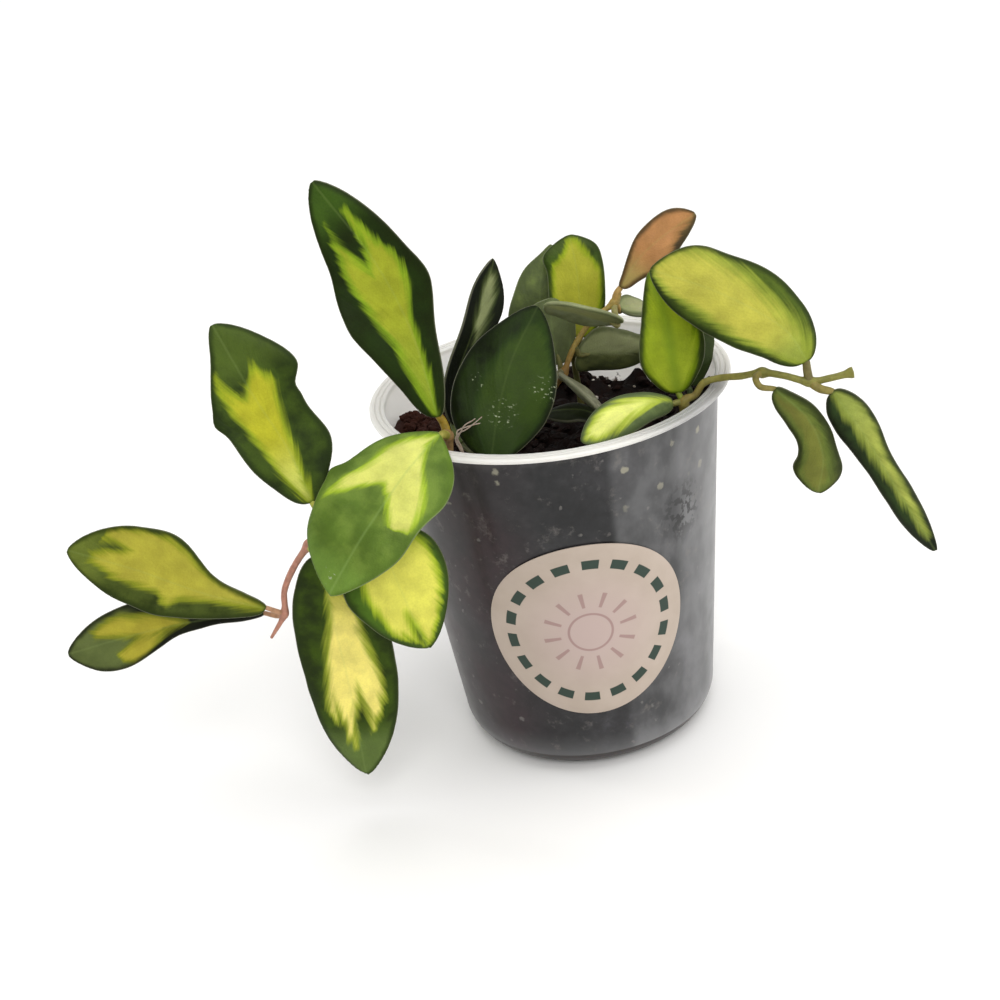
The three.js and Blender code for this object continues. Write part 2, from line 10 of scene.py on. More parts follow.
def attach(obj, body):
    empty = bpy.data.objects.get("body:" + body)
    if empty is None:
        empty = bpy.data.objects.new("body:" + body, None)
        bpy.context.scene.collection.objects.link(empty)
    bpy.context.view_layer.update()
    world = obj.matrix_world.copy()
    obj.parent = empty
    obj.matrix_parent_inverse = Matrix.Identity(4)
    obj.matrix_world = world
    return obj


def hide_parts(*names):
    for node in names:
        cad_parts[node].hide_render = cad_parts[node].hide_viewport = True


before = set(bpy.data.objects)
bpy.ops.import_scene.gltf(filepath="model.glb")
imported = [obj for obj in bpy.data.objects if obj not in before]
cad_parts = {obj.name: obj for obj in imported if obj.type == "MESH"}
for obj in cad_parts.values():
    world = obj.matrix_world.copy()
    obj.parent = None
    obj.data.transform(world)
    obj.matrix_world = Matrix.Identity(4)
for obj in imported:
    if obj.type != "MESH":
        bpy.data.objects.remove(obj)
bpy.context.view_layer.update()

# The pot. A thin round nursery pot, moulded in frosted polypropylene, with a flat flange at its
# mouth and drain holes in its base. Dark compost shows through the milky wall.
MM = 0.001
POT_HEIGHT = 105
LIP_RADIUS = 50
LIP_HEIGHT = 1.3
LIP_ROUNDING = 0.5
GROOVES = (48.4, 47)
GROOVE_DEPTH = 0.22
BODY_TOP_RADIUS = 46.5
BODY_FOOT_RADIUS = 36
WALL_HEIGHTS = (25, 45, 65, 85, 98)
FOOT_ROUNDING = 10
FOOT_FLAT = 25
POT_WALL = 0.8
DRAIN_HOLES = 6
DRAIN_HOLE_RADIUS = 3
DRAIN_RING_RADIUS = 19
POT_TURNS = 168


def paint(hex_code):
    """An sRGB hex colour as the linear colour that a shader takes."""
    channels = [int(hex_code[i:i + 2], 16) / 255 for i in (1, 3, 5)]
    linear = [c / 12.92 if c <= 0.04045 else ((c + 0.055) / 1.055) ** 2.4 for c in channels]
    return (*linear, 1)


def put(tree, kind, inputs, steps=(), **settings):
    """Adds a node with its settings, links and colour steps, and gives its first output in use.
    The inputs are in the node's own order, or by name or number, and each is a number, a colour
    or another node's output. A range has its value, from low, from high, to low and to high. A
    colour mix has its share at 0 and its two colours at 6 and 7."""
    node = tree.nodes.new("ShaderNode" + kind)
    for name, value in settings.items():
        setattr(node, name, value)
    for key, value in inputs.items() if isinstance(inputs, dict) else enumerate(inputs):
        if isinstance(value, bpy.types.NodeSocket):
            tree.links.new(value, node.inputs[key])
        else:
            node.inputs[key].default_value = value
    for i, (place, colour) in enumerate(steps):
        ramp = node.color_ramp.elements
        element = ramp[i] if i < len(ramp) else ramp.new(1)
        element.position, element.color = place, paint(colour)
    return next(output for output in node.outputs if not output.is_unavailable)


SMOOTH = {"interpolation_type": "SMOOTHSTEP"}


def start_material(name, values):
    """A new material, its node tree and its shader's sockets, some of them set to values."""
    material = bpy.data.materials.new(name)
    material.use_nodes = True
    sockets = material.node_tree.nodes["Principled BSDF"].inputs
    for socket, value in values.items():
        sockets[socket].default_value = value
    return material, material.node_tree, sockets


def skin(name, points, faces, smooth_angle=40):
    """A mesh object from points in millimetres."""
    mesh = bpy.data.meshes.new(name)
    mesh.from_pydata([Vector(p) * MM for p in points], [], faces)
    mesh.validate()
    mesh.polygons.foreach_set("use_smooth", [True] * len(mesh.polygons))
    mesh.set_sharp_from_angle(angle=math.radians(smooth_angle))
    piece = bpy.data.objects.new(name, mesh)
    bpy.context.scene.collection.objects.link(piece)
    return piece


def body_radius(z):
    return BODY_FOOT_RADIUS + (BODY_TOP_RADIUS - BODY_FOOT_RADIUS) * z / (POT_HEIGHT - LIP_HEIGHT)


def arc(centre_r, centre_z, radius, start, end, steps):
    turns = [math.radians(start + (end - start) * i / steps) for i in range(steps + 1)]
    return [(centre_r + radius * math.cos(a), centre_z + radius * math.sin(a)) for a in turns]


def turned(name, outline, turns):
    """A closed skin turned round the Z axis; the outline starts and ends on the axis."""
    rings = outline[1:-1]
    points = [(0, 0, outline[0][1]), (0, 0, outline[-1][1])]
    for r, z in rings:
        for i in range(turns):
            a = 2 * math.pi * i / turns
            points.append((r * math.cos(a), r * math.sin(a), z))

    def at(ring, i):
        return 2 + ring * turns + i % turns

    faces = []
    for i in range(turns):
        faces.append((0, at(0, i + 1), at(0, i)))
        for ring in range(len(rings) - 1):
            faces.append((at(ring, i), at(ring, i + 1), at(ring + 1, i + 1), at(ring + 1, i)))
        faces.append((1, at(len(rings) - 1, i), at(len(rings) - 1, i + 1)))
    return skin(name, points, faces)


lip_foot = POT_HEIGHT - LIP_HEIGHT
lip_middle = LIP_RADIUS - LIP_ROUNDING
foot_centre = body_radius(FOOT_ROUNDING) - FOOT_ROUNDING
inner_top = BODY_TOP_RADIUS - POT_WALL
outline = [(0, 0), (FOOT_FLAT, 0)]
outline += arc(foot_centre, FOOT_ROUNDING, FOOT_ROUNDING, -90, 0, 14)
outline += [(body_radius(z), z) for z in WALL_HEIGHTS]
outline += [(BODY_TOP_RADIUS - 0.15, lip_foot - 0.5), (BODY_TOP_RADIUS + 0.4, lip_foot)]
outline += arc(lip_middle, lip_foot + LIP_ROUNDING, LIP_ROUNDING, -90, 0, 5)
outline += arc(lip_middle, POT_HEIGHT - LIP_ROUNDING, LIP_ROUNDING, 0, 90, 5)
for groove in GROOVES:
    for aside, down in ((0.3, 0), (0.15, GROOVE_DEPTH), (-0.15, GROOVE_DEPTH), (-0.3, 0)):
        outline.append((groove + aside, POT_HEIGHT - down))
for outward, down in ((0.5, 0.05), (0.1, 0.35), (0, 0.9)):
    outline.append((inner_top + outward, POT_HEIGHT - down))
outline += [(body_radius(z) - POT_WALL, z) for z in reversed(WALL_HEIGHTS)]
outline += arc(foot_centre, FOOT_ROUNDING, FOOT_ROUNDING - POT_WALL, 0, -90, 10)
outline += [(FOOT_FLAT, POT_WALL), (0, POT_WALL)]
pot = turned("nursery_pot", outline, POT_TURNS)
for hole in range(DRAIN_HOLES):
    turn = 2 * math.pi * hole / DRAIN_HOLES
    drill = turned("drill", [(0, -2), (DRAIN_HOLE_RADIUS, -2), (DRAIN_HOLE_RADIUS, 2), (0, 2)], 24)
    drill.location = Vector((math.cos(turn), math.sin(turn), 0)) * DRAIN_RING_RADIUS * MM
    cut = pot.modifiers.new("drain_hole", "BOOLEAN")
    cut.object = drill
    cut.solver = "EXACT"
drilled = bpy.data.meshes.new_from_object(pot.evaluated_get(bpy.context.evaluated_depsgraph_get()))
for cut in pot.modifiers:
    bpy.data.objects.remove(cut.object)
pot.modifiers.clear()
pot.data = drilled
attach(pot, "root")
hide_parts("pot")

# The turn, in radians from the front to the right, at which the look of the wall folds back.
FOLD_TURN = 1.6
# The heights where the compost stops and where the wall is fully bare.
COMPOST_LINE = 94.5
BARE_LINE = 99.5


def compost_behind_plastic():
    """Frosted polypropylene with damp compost against it: dark grey and blotched, with pale
    specks of perlite and a few root marks, and painted light that makes it milkier towards the
    right and at the foot."""
    material, tree, sockets = start_material("compost_behind_plastic", {
        "IOR": 1.49, "Specular IOR Level": 0.35, "Coat Weight": 0.1, "Coat Roughness": 0.12})
    place = put(tree, "TexCoord", []).node.outputs["Object"]
    x, y, z = put(tree, "SeparateXYZ", [place]).node.outputs
    front = put(tree, "Math", [y, -1], operation="MULTIPLY")
    turn = put(tree, "Math", [x, front], operation="ARCTAN2")
    # The turn folds back at the right-hand side, so that nothing starts or ends at the back.
    beyond = put(tree, "Math", [turn, FOLD_TURN], operation="SUBTRACT")
    beyond = put(tree, "Math", [beyond], operation="ABSOLUTE")
    folded = put(tree, "Math", [FOLD_TURN, beyond], operation="SUBTRACT")
    # Lumps of compost 16 mm across, bark 33 mm, crumbs 2.4 mm, lime 5.3 mm, roots 4.2 mm apart,
    # and the waves of the compost's top line 17 mm.
    lumps, bark, crumbs, lime, threads, line = [
        put(tree, "TexNoise", {"Vector": place, "Scale": 1 / (size * MM), "Detail": detail,
                               "Roughness": rough})
        for size, detail, rough in ((16.13, 5, 0.62), (33.33, 3, 0.5), (2.381, 3, 0.5),
                                    (5.263, 6, 0.7), (4.167, 3, 0.5), (16.67, 5, 0.5))]
    colour = put(tree, "ValToRGB", [lumps], [
        (0.32, "#0e0e10"), (0.46, "#1b1b1d"), (0.58, "#2a292b"), (0.74, "#46454a")])
    crumb_tone = put(tree, "ValToRGB", [crumbs], [(0.35, "#b4b4b4"), (0.6, "#ffffff")])
    # Bark lies against the wall mostly on the left.
    bark_left = put(tree, "MapRange", [x, -0.005, -0.021], **SMOOTH)
    bark_spots = put(tree, "MapRange", [bark, 0.4, 0.58, 0.35], **SMOOTH)
    bark_share = put(tree, "Math", [bark_spots, bark_left], operation="MULTIPLY")
    # Painted light makes the wall milkier towards the right, in steps, and at the foot.
    painted_light_bands = 0
    for value, start, end, share, edge in ((folded, 0.7, 0.8, 0.12, "SMOOTHSTEP"),
                                           (folded, 0.85, 1.5, 0.07, "LINEAR"),
                                           (z, 0.015, 0.001, 0.32, "SMOOTHSTEP")):
        painted_light_band = put(tree, "MapRange", [value, start, end, 0, share], interpolation_type=edge)
        painted_light_bands = put(tree, "Math", [painted_light_bands, painted_light_band], operation="ADD")
    first_painted_band = put(tree, "MapRange", [folded, 0.24, 0.31, 0, 0.17], **SMOOTH)
    # Patches 9.3 mm wide and 12.5 mm high make the first band of painted light uneven.
    unrolled = put(tree, "CombineXYZ", [turn, 0, z])
    unrolled = put(tree, "VectorMath", [unrolled, (BODY_TOP_RADIUS / 9.3, 1, 1 / (12.5 * MM))],
                   operation="MULTIPLY")
    patches = put(tree, "TexNoise", {"Vector": unrolled, "Scale": 1, "Detail": 4})
    uneven = put(tree, "MapRange", [patches, 0.35, 0.66, 0.5, 1.3], **SMOOTH)
    painted_lightening = put(tree, "Math", [first_painted_band, uneven, painted_light_bands], operation="MULTIPLY_ADD", use_clamp=True)
    smudges = put(tree, "MapRange", [lime, 0.56, 0.74, 0, 0.4], **SMOOTH)
    # Root marks: thin broken threads in a patch on the right.
    thread = put(tree, "Math", [threads, 0.5], operation="SUBTRACT")
    thread = put(tree, "Math", [thread], operation="ABSOLUTE")
    thin = put(tree, "MapRange", [thread, 0.11, 0.06])
    broken = put(tree, "MapRange", [crumbs, 0.44, 0.54], **SMOOTH)
    away = put(tree, "VectorMath", [place, (0.031, -0.0315, 0.0755)], operation="DISTANCE")
    near = put(tree, "MapRange", [away, 0.011, 0.003, 0, 0.9])
    short = put(tree, "Math", [thin, broken], operation="MULTIPLY")
    root_marks = put(tree, "Math", [short, near], operation="MULTIPLY")
    # The milky grey #a5a5a6 is painted light, mixed in towards the right and at the foot.
    layers = [("MIX", bark_share, paint("#27161b")), ("MULTIPLY", 0.6, crumb_tone),
              ("MIX", painted_lightening, paint("#a5a5a6")), ("MIX", smudges, paint("#77716c")),
              ("MIX", root_marks, paint("#121112"))]
    # Perlite, one grain to a cell: 2 mm wide near the top, 1.5 mm near the foot, and dust all
    # over. A share of the cells is kept, and the heights where they start and end are in metres.
    bend = put(tree, "TexNoise", {
        "Vector": place, "Scale": 1 / (1.4286 * MM), "Detail": 2}).node.outputs["Color"]
    crooked = put(tree, "VectorMath", [bend, (0.0016, 0.0016, 0.0016), place],
                  operation="MULTIPLY_ADD")
    for cell, radius, kept_from, share, low, high, tint in (
            (6.667, 0.2, 0.45, 0.75, 0.08, 0.09, "#96927f"),
            (5.882, 0.16, 0.65, 0.5, 0.03, 0.014, "#85827e"),
            (3.846, 0.17, 0.75, 0.4, -0.1, 0, "#7c7874")):
        middle, random_tone, *_ = put(tree, "TexVoronoi", {
            "Vector": crooked, "Scale": 1 / (cell * MM)}).node.outputs
        speck = put(tree, "MapRange", [middle, radius, radius * 0.6])
        random_tone = put(tree, "SeparateColor", [random_tone])
        kept = put(tree, "Math", [random_tone, kept_from], operation="GREATER_THAN")
        level = put(tree, "MapRange", [z, low, high, 0, share])
        shown = put(tree, "Math", [speck, kept], operation="MULTIPLY")
        shown = put(tree, "Math", [shown, level], operation="MULTIPLY")
        layers.append(("MIX", shown, paint(tint)))
    # The compost stops short of the flange, along a ragged line.
    height = put(tree, "Math", [line, -0.012, z], operation="MULTIPLY_ADD")
    bare = put(tree, "MapRange", [height, COMPOST_LINE * MM, BARE_LINE * MM, 0, 0.52], **SMOOTH)
    layers.append(("MIX", bare, paint("#6c6a69")))
    for way, share, tint in layers:
        colour = put(tree, "Mix", {0: share, 6: colour, 7: tint}, data_type="RGBA", blend_type=way)
    tree.links.new(colour, sockets["Base Color"])
    # The mould leaves fine haze on the wall, which breaks up its gloss.
    satin = put(tree, "TexNoise", {"Vector": place, "Scale": 1 / (6.25 * MM), "Detail": 3})
    gloss = put(tree, "MapRange", [satin, 0, 1, 0.26, 0.46])
    tree.links.new(gloss, sockets["Roughness"])
    return material


def frosted_polypropylene():
    """Bare frosted polypropylene: milky white, soft gloss, light glows in it. Inside the pot
    it is stained where compost clings above the filling."""
    material, tree, sockets = start_material("frosted_polypropylene", {
        "Roughness": 0.34, "IOR": 1.49, "Subsurface Weight": 1, "Subsurface Scale": 0.004,
        "Subsurface Radius": (1, 0.97, 0.93)})
    place = put(tree, "TexCoord", []).node.outputs["Object"]
    x, y, z = put(tree, "SeparateXYZ", [place]).node.outputs
    cloud = put(tree, "TexNoise", {"Vector": place, "Scale": 1 / (22.22 * MM), "Detail": 3})
    milky = put(tree, "ValToRGB", [cloud], [(0.3, "#e4e1da"), (0.7, "#efece7")])
    crumbs = put(tree, "TexNoise", {
        "Vector": place, "Scale": 1 / (7.692 * MM), "Detail": 6, "Roughness": 0.65})
    height = put(tree, "Math", [crumbs, -0.02, z], operation="MULTIPLY_ADD")
    stain = put(tree, "MapRange", [height, 0.0776, 0.0766])
    # Painted shade: the top of the flange is a darker grey than the inner wall, and darker
    # still towards the front right.
    shaded_flange_top = put(tree, "MapRange", [z, 0.1032, 0.104])
    away = put(tree, "VectorMath", [place, (0.04, -0.03, 0.105)], operation="DISTANCE")
    darker_front_right = put(tree, "MapRange", [away, 0.036, 0.008, 0, 0.85], **SMOOTH)
    flange_shade_tone = put(tree, "Mix", {0: darker_front_right, 6: paint("#d1cfc9"), 7: paint("#868687")},
               data_type="RGBA")
    layers = [(stain, paint("#1c110d")), (shaded_flange_top, flange_shade_tone)]
    # Its two turned lines are painted grey, as painted shade in their grooves.
    flat = put(tree, "CombineXYZ", [x, y])
    radius = put(tree, "VectorMath", [flat], operation="LENGTH")
    for groove in GROOVES:
        off = put(tree, "Math", [radius, groove * MM], operation="SUBTRACT")
        off = put(tree, "Math", [off], operation="ABSOLUTE")
        painted_light_marks = put(tree, "MapRange", [off, 0.00036, 0.00016, 0, 0.28])
        layers.append((painted_light_marks, paint("#a3a19e")))
    for share, tint in layers:
        milky = put(tree, "Mix", {0: share, 6: milky, 7: tint}, data_type="RGBA")
    tree.links.new(milky, sockets["Base Color"])
    return material


pot.data.materials.clear()
pot.data.materials.append(compost_behind_plastic())
pot.data.materials.append(frosted_polypropylene())
for face in pot.data.polygons:
    middle = Vector(face.center) / MM
    wall = math.hypot(middle.x, middle.y) > body_radius(middle.z) - POT_WALL / 2
    outer = (wall or middle.z < POT_WALL / 2) and middle.z < lip_foot
    face.material_index = 0 if outer else 1
    face.use_smooth = True
pot.data.set_sharp_from_angle(angle=math.radians(40))

# The sticker. A round matte paper label, stuck to the wall and printed in two colours with a
# plain ring of dashes round a rayed disc.
LABEL_RADIUS = 27.5
LABEL_HEIGHT = 48.5
LABEL_TURN = math.radians(3)
LABEL_LIFT = 0.3
LABEL_THICKNESS = 0.5
LABEL_RINGS = 22
LABEL_SPOKES = 128
DASHES = 18
DASH_RING = (20.2, 22.8)
RAYS = 12
RAY_RING = (8.2, 12.6)
DISC_LINE = (5.6, 6.1)

label_points = []
label_flat = []
for lift in (LABEL_LIFT + LABEL_THICKNESS, LABEL_LIFT):
    for ring in range(LABEL_RINGS + 1):
        reach = LABEL_RADIUS * ring / LABEL_RINGS
        sunk = 0.2 if ring == LABEL_RINGS and lift > LABEL_LIFT else 0
        for spoke in range(LABEL_SPOKES if ring else 1):
            a = 2 * math.pi * spoke / LABEL_SPOKES
            z = LABEL_HEIGHT + reach * math.sin(a)
            turn = LABEL_TURN + reach * math.cos(a) / body_radius(LABEL_HEIGHT)
            radius = body_radius(z) + lift - sunk
            label_points.append((radius * math.sin(turn), -radius * math.cos(turn), z))
            label_flat.append((reach * math.cos(a), reach * math.sin(a), 0))
half = len(label_points) // 2


def at(ring, spoke):
    return 0 if ring == 0 else 1 + (ring - 1) * LABEL_SPOKES + spoke % LABEL_SPOKES


label_faces = []
for spoke in range(LABEL_SPOKES):
    label_faces.append((0, at(1, spoke), at(1, spoke + 1)))
    label_faces.append((half, half + at(1, spoke + 1), half + at(1, spoke)))
    for ring in range(1, LABEL_RINGS):
        quad = (at(ring, spoke), at(ring + 1, spoke), at(ring + 1, spoke + 1), at(ring, spoke + 1))
        label_faces += [quad, tuple(half + i for i in reversed(quad))]
    a, b = at(LABEL_RINGS, spoke), at(LABEL_RINGS, spoke + 1)
    label_faces.append((a, half + a, half + b, b))
label = skin("paper_sticker", label_points, label_faces)


def mark_points(piece, name, values):
    """Stores a number or a place for each point of a piece, for its material to read."""
    numbers = isinstance(values[0], (int, float))
    kind, key = ("FLOAT", "value") if numbers else ("FLOAT_VECTOR", "vector")
    flat = values if numbers else [c for place in values for c in place]
    piece.data.attributes.new(name, kind, "POINT").data.foreach_set(key, flat)


mark_points(label, "flat", label_flat)


def printed_paper():
    """Matte coated paper, pale pink beige: no gloss, a faint tooth, flat printed inks."""
    material, tree, sockets = start_material("printed_paper", {"Roughness": 0.62, "IOR": 1.5})
    place = put(tree, "Attribute", [], attribute_name="flat").node.outputs["Vector"]
    x, y, _ = put(tree, "SeparateXYZ", [place]).node.outputs
    length = put(tree, "VectorMath", [place], operation="LENGTH")
    angle = put(tree, "Math", [y, x], operation="ARCTAN2")
    blush = put(tree, "MapRange", [length, 24, 2], **SMOOTH)
    # Fibres in clouds 11 mm across, and a tooth of 0.2 mm.
    grain = put(tree, "TexNoise", {"Vector": place, "Scale": 1 / 11.11, "Detail": 4})
    tooth = put(tree, "TexNoise", {"Vector": place, "Scale": 1 / 0.2, "Detail": 2})
    colour = put(tree, "ValToRGB", [grain], [(0.35, "#ab9c8e"), (0.65, "#b3a497")])

    def band(value, low, high, soft):
        """One inside low to high, and nothing outside, with a soft edge."""
        up = put(tree, "MapRange", [value, low - soft, low])
        down = put(tree, "MapRange", [value, high + soft, high])
        return put(tree, "Math", [up, down], operation="MULTIPLY")

    def ring_of(count, share, ring, soft):
        """A ring cut into dashes, where a wave round the sticker is above its share."""
        turns = put(tree, "Math", [angle, count], operation="MULTIPLY")
        wave = put(tree, "Math", [turns], operation="SINE")
        return put(tree, "Math", [band(length, *ring, soft), band(wave, share, 2, soft * 0.4)],
                   operation="MULTIPLY")

    rays = ring_of(RAYS, 0.86, RAY_RING, 0.2)
    disc = put(tree, "Math", [band(length, *DISC_LINE, 0.15), rays], operation="MAXIMUM")
    faded = put(tree, "Math", [disc, 0.6], operation="MULTIPLY")
    for share, tint in ((blush, "#b39f98"), (ring_of(DASHES, -0.2, DASH_RING, 0.15), "#1f3328"),
                        (faded, "#86605f")):
        colour = put(tree, "Mix", {0: share, 6: colour, 7: paint(tint)}, data_type="RGBA")
    tree.links.new(colour, sockets["Base Color"])
    bump = put(tree, "Bump", {"Strength": 0.12, "Distance": 0.0001, "Height": tooth})
    tree.links.new(bump, sockets["Normal"])
    return material


label.data.materials.append(printed_paper())
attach(label, "root")
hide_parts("label")

# The compost. Damp peat and bark that fills the pot to a crumbly top, heaped on the left and on
# the right, with loose bits of bark and white perlite lying on it.
SOIL_LEVEL = 86
# Each bank has its place, its height above the level and its spread.
SOIL_BANKS = [(-43, 4, 10.5, 20), (46, 0, 13, 14.5), (6, 41, 4.5, 8), (27, 35, 4.5, 4.5)]
SOIL_LUMP_HEIGHT = 1.2
SOIL_LUMP_SPACING = 12
SOIL_GAP = 0.3
SOIL_RINGS = 70
SOIL_SPOKES = 200


def soil_height(x, y):
    """The heaped top, with lumps, and crumbs 1 to 4 mm across."""
    banks = sum(high * math.exp(-((x - bx) ** 2 + (y - by) ** 2) / spread ** 2)
                for bx, by, high, spread in SOIL_BANKS)
    pitch = 2 * math.pi / SOIL_LUMP_SPACING
    lumps = SOIL_LUMP_HEIGHT * math.sin(pitch * x) * math.cos(pitch * y)
    crumbs = 0.9 * noise.noise((x * 0.35, y * 0.35, 1)) + 0.5 * noise.noise((x, y, 5))
    return SOIL_LEVEL + banks + lumps + crumbs


soil_edge = body_radius(SOIL_LEVEL) - POT_WALL - SOIL_GAP
soil_outline = [(0, POT_WALL + SOIL_GAP)]
soil_outline += arc(foot_centre, FOOT_ROUNDING, FOOT_ROUNDING - POT_WALL - SOIL_GAP, -90, 0, 8)
soil_outline += [(soil_edge * (1 - i / SOIL_RINGS), SOIL_LEVEL) for i in range(SOIL_RINGS + 1)]
compost = turned("compost", soil_outline, SOIL_SPOKES)
for vertex in compost.data.vertices:
    x, y, z = Vector(vertex.co) / MM
    if z > SOIL_LEVEL - 0.01:
        height = soil_height(x, y)
        widening = (body_radius(height) - POT_WALL - SOIL_GAP) / soil_edge
        vertex.co = Vector((x * widening, y * widening, height)) * MM


def scattered_bits(name, count, sizes, flatness, seed, middle=(0, 0), spread=soil_edge * 0.97):
    """Loose bits lying half sunk in the compost, each one a lumpy stone of its own shape."""
    draw = random.Random(seed)
    made = bmesh.new()
    for _ in range(count):
        reach = spread * math.sqrt(draw.random())
        turn = draw.uniform(0, 2 * math.pi)
        x, y = middle[0] + reach * math.cos(turn), middle[1] + reach * math.sin(turn)
        size = draw.uniform(*sizes)
        bit = bmesh.ops.create_icosphere(made, subdivisions=2, radius=1)
        spin = Matrix.Rotation(draw.uniform(0, 6.28), 4, "Z")
        lean = Matrix.Rotation(draw.uniform(-0.5, 0.5), 4, "X")
        shape = Matrix.Diagonal((size, size * draw.uniform(0.45, 0.8), size * flatness, 1))
        put_down = Matrix.Translation((x, y, soil_height(x, y) + size * flatness * 0.35))
        offset = Vector((draw.uniform(0, 99), 0, 0))
        for vertex in bit["verts"]:
            rough = 1 + 0.45 * noise.noise(vertex.co * 1.7 + offset)
            vertex.co = (put_down @ spin @ lean @ shape @ (vertex.co * rough)) * MM
    mesh = bpy.data.meshes.new(name)
    made.to_mesh(mesh)
    made.free()
    piece = bpy.data.objects.new(name, mesh)
    bpy.context.scene.collection.objects.link(piece)
    return piece


def damp_peat(name, dark, light, dry):
    """Damp peat and bark: nearly black with reddish fibres, dull, with a few wet glints."""
    material, tree, sockets = start_material(name, {"IOR": 1.4, "Specular IOR Level": 0.2})
    place = put(tree, "TexCoord", []).node.outputs["Object"]
    x = put(tree, "SeparateXYZ", [place])
    # Fibres 2.6 mm apart, with finer ones between.
    fibres = put(tree, "TexNoise", {
        "Vector": place, "Scale": 1 / (2.632 * MM), "Detail": 8, "Roughness": 0.7})
    colour = put(tree, "ValToRGB", [fibres], [(0.35, dark), (0.7, light)])
    # The heap on the left has dried to a redder brown.
    left = put(tree, "MapRange", [x, -0.026, -0.036, 0, 0.75], **SMOOTH)
    dried = put(tree, "Mix", {0: left, 6: colour, 7: paint(dry)}, data_type="RGBA",
                blend_type="ADD")
    tree.links.new(dried, sockets["Base Color"])
    damp = put(tree, "MapRange", [fibres, 0.3, 0.6, 0.6, 0.95])
    tree.links.new(damp, sockets["Roughness"])
    bump = put(tree, "Bump", {"Strength": 0.8, "Distance": 0.0006, "Height": fibres})
    tree.links.new(bump, sockets["Normal"])
    return material


def expanded_perlite():
    """Expanded perlite: chalky white glass foam, stained a little by the peat."""
    material, tree, sockets = start_material("expanded_perlite", {"Roughness": 0.85})
    place = put(tree, "TexCoord", []).node.outputs["Object"]
    pores = put(tree, "TexNoise", {"Vector": place, "Scale": 1 / (1.111 * MM), "Detail": 3})
    colour = put(tree, "ValToRGB", [pores], [(0.3, "#8f8273"), (0.6, "#d8d2c6")])
    tree.links.new(colour, sockets["Base Color"])
    return material


compost.data.materials.append(damp_peat("damp_peat", "#050302", "#1c0e09", "#2c120a"))
wet_bark = damp_peat("wet_bark", "#060302", "#21110c", "#35180f")
loose_bits = [scattered_bits("bark_bits", 420, (0.7, 2.6), 0.45, 11),
              scattered_bits("heap_lumps", 130, (0.7, 2.1), 0.8, 3, (-32, 4), 10),
              scattered_bits("back_lumps", 30, (0.8, 2.2), 0.9, 8, (7, 37), 5),
              scattered_bits("perlite_bits", 45, (0.4, 1.1), 0.8, 4)]
for bits, material in zip(loose_bits, [wet_bark] * 3 + [expanded_perlite()]):
    bits.data.materials.append(material)
for loose in (compost, *loose_bits):
    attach(loose, "root")
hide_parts("soil")

# The shoots. Thin smooth green stems that bark over to olive and pinkish brown, with a swollen
# knot where each pair of leaves grew. They stand in the compost and arch over the flange.
# For each: its radius, how much thinner it ends, its path, its knots, and its colours.
SHOOTS = {
    "stem_left": (1.1, 0.65, [
        (-28, -28, 78), (-29, -31, 94), (-27.7, -33, 107.4), (-32.4, -39, 107.3),
        (-36.5, -43.5, 103.3), (-46.8, -48, 99.7), (-59.8, -47, 95.6), (-66.8, -47, 88.5),
        (-71.8, -46, 82.4), (-75.8, -45, 75.3), (-77.3, -44.5, 68.2), (-81.8, -45.5, 62.1)],
        [(-27.7, -33, 107.4), (-59.8, -47, 95.6), (-66.8, -47, 88.5), (-77.3, -44.5, 68.2)],
        ("#6a5a24", "#a07e58", "#b3806c")),
    "stem_right": (0.95, 0.05, [
        (34, -16, 78), (34.5, -17.5, 92), (34.9, -19.5, 101.5), (38.2, -19, 103.2),
        (40.8, -18.6, 106.1), (45.3, -19.5, 107.2), (50.3, -23, 108.4), (55.4, -26, 109.8),
        (60.8, -29, 109.3), (66.8, -30, 107.2), (72.7, -30, 107.4), (78.2, -30, 108.1)],
        [(34.9, -19.5, 101.5), (55.4, -26, 109.8), (66.8, -30, 107.2), (78, -30, 108)],
        ("#7c6434", "#8a8440", "#7c7a38")),
    "stem_centre": (0.85, 0.35, [
        (-6, 5, 76), (-5, 4.5, 92), (1, 2.2, 101.5), (4.4, 1.5, 106.1), (8.4, 3, 113.1),
        (13.9, 5.5, 118.6), (20.8, 8, 122.1), (22.8, 8.5, 124.6)],
        [(4.4, 1.5, 106.1), (20.8, 8, 122.1)],
        ("#6a5030", "#8a6c38", "#9a8444")),
    "stem_front": (1.0, 0.35, [
        (-13, -36, 78), (-15.5, -34.5, 92), (-20, -28, 96.5), (-25.9, -17, 97.9)],
        [(-17.5, -31.8, 95)], ("#3c4420", "#4c5028", "#4c5028")),
    "stem_back": (1.0, 0.35, [(9, 22, 76), (8.5, 21, 90), (7.9, 19.5, 104.6)],
                  [(7.9, 19.5, 104.6)], ("#4c4a28", "#5c5a30", "#5c5a30")),
    "stem_side": (0.9, 0.35, [(37.5, -4, 76), (38, -4, 90), (38.2, -4, 96.5)],
                  [(38.2, -4, 96.5)], ("#3c4424", "#4c5028", "#4c5028")),
}
KNOT_SWELLING = 0.6
KNOT_REACH = 1.5
SHOOT_SIDES = 18


def smooth_path(points, count):
    """Points and directions along a smooth curve through the given ones."""
    knots = [Vector(p) for p in points]
    knots = [2 * knots[0] - knots[1]] + knots + [2 * knots[-1] - knots[-2]]
    spans = len(knots) - 3
    path = []
    for i in range(count + 1):
        place = spans * i / count
        span = min(int(place), spans - 1)
        w = place - span
        p0, p1, p2, p3 = knots[span:span + 4]
        slope1, slope2 = (p2 - p0) / 2, (p3 - p1) / 2
        cubic = 2 * p1 - 2 * p2 + slope1 + slope2
        square = -3 * p1 + 3 * p2 - 2 * slope1 - slope2
        where = cubic * w ** 3 + square * w ** 2 + slope1 * w + p1
        heading = cubic * 3 * w ** 2 + square * 2 * w + slope1
        path.append((where, heading.normalized()))
    return path


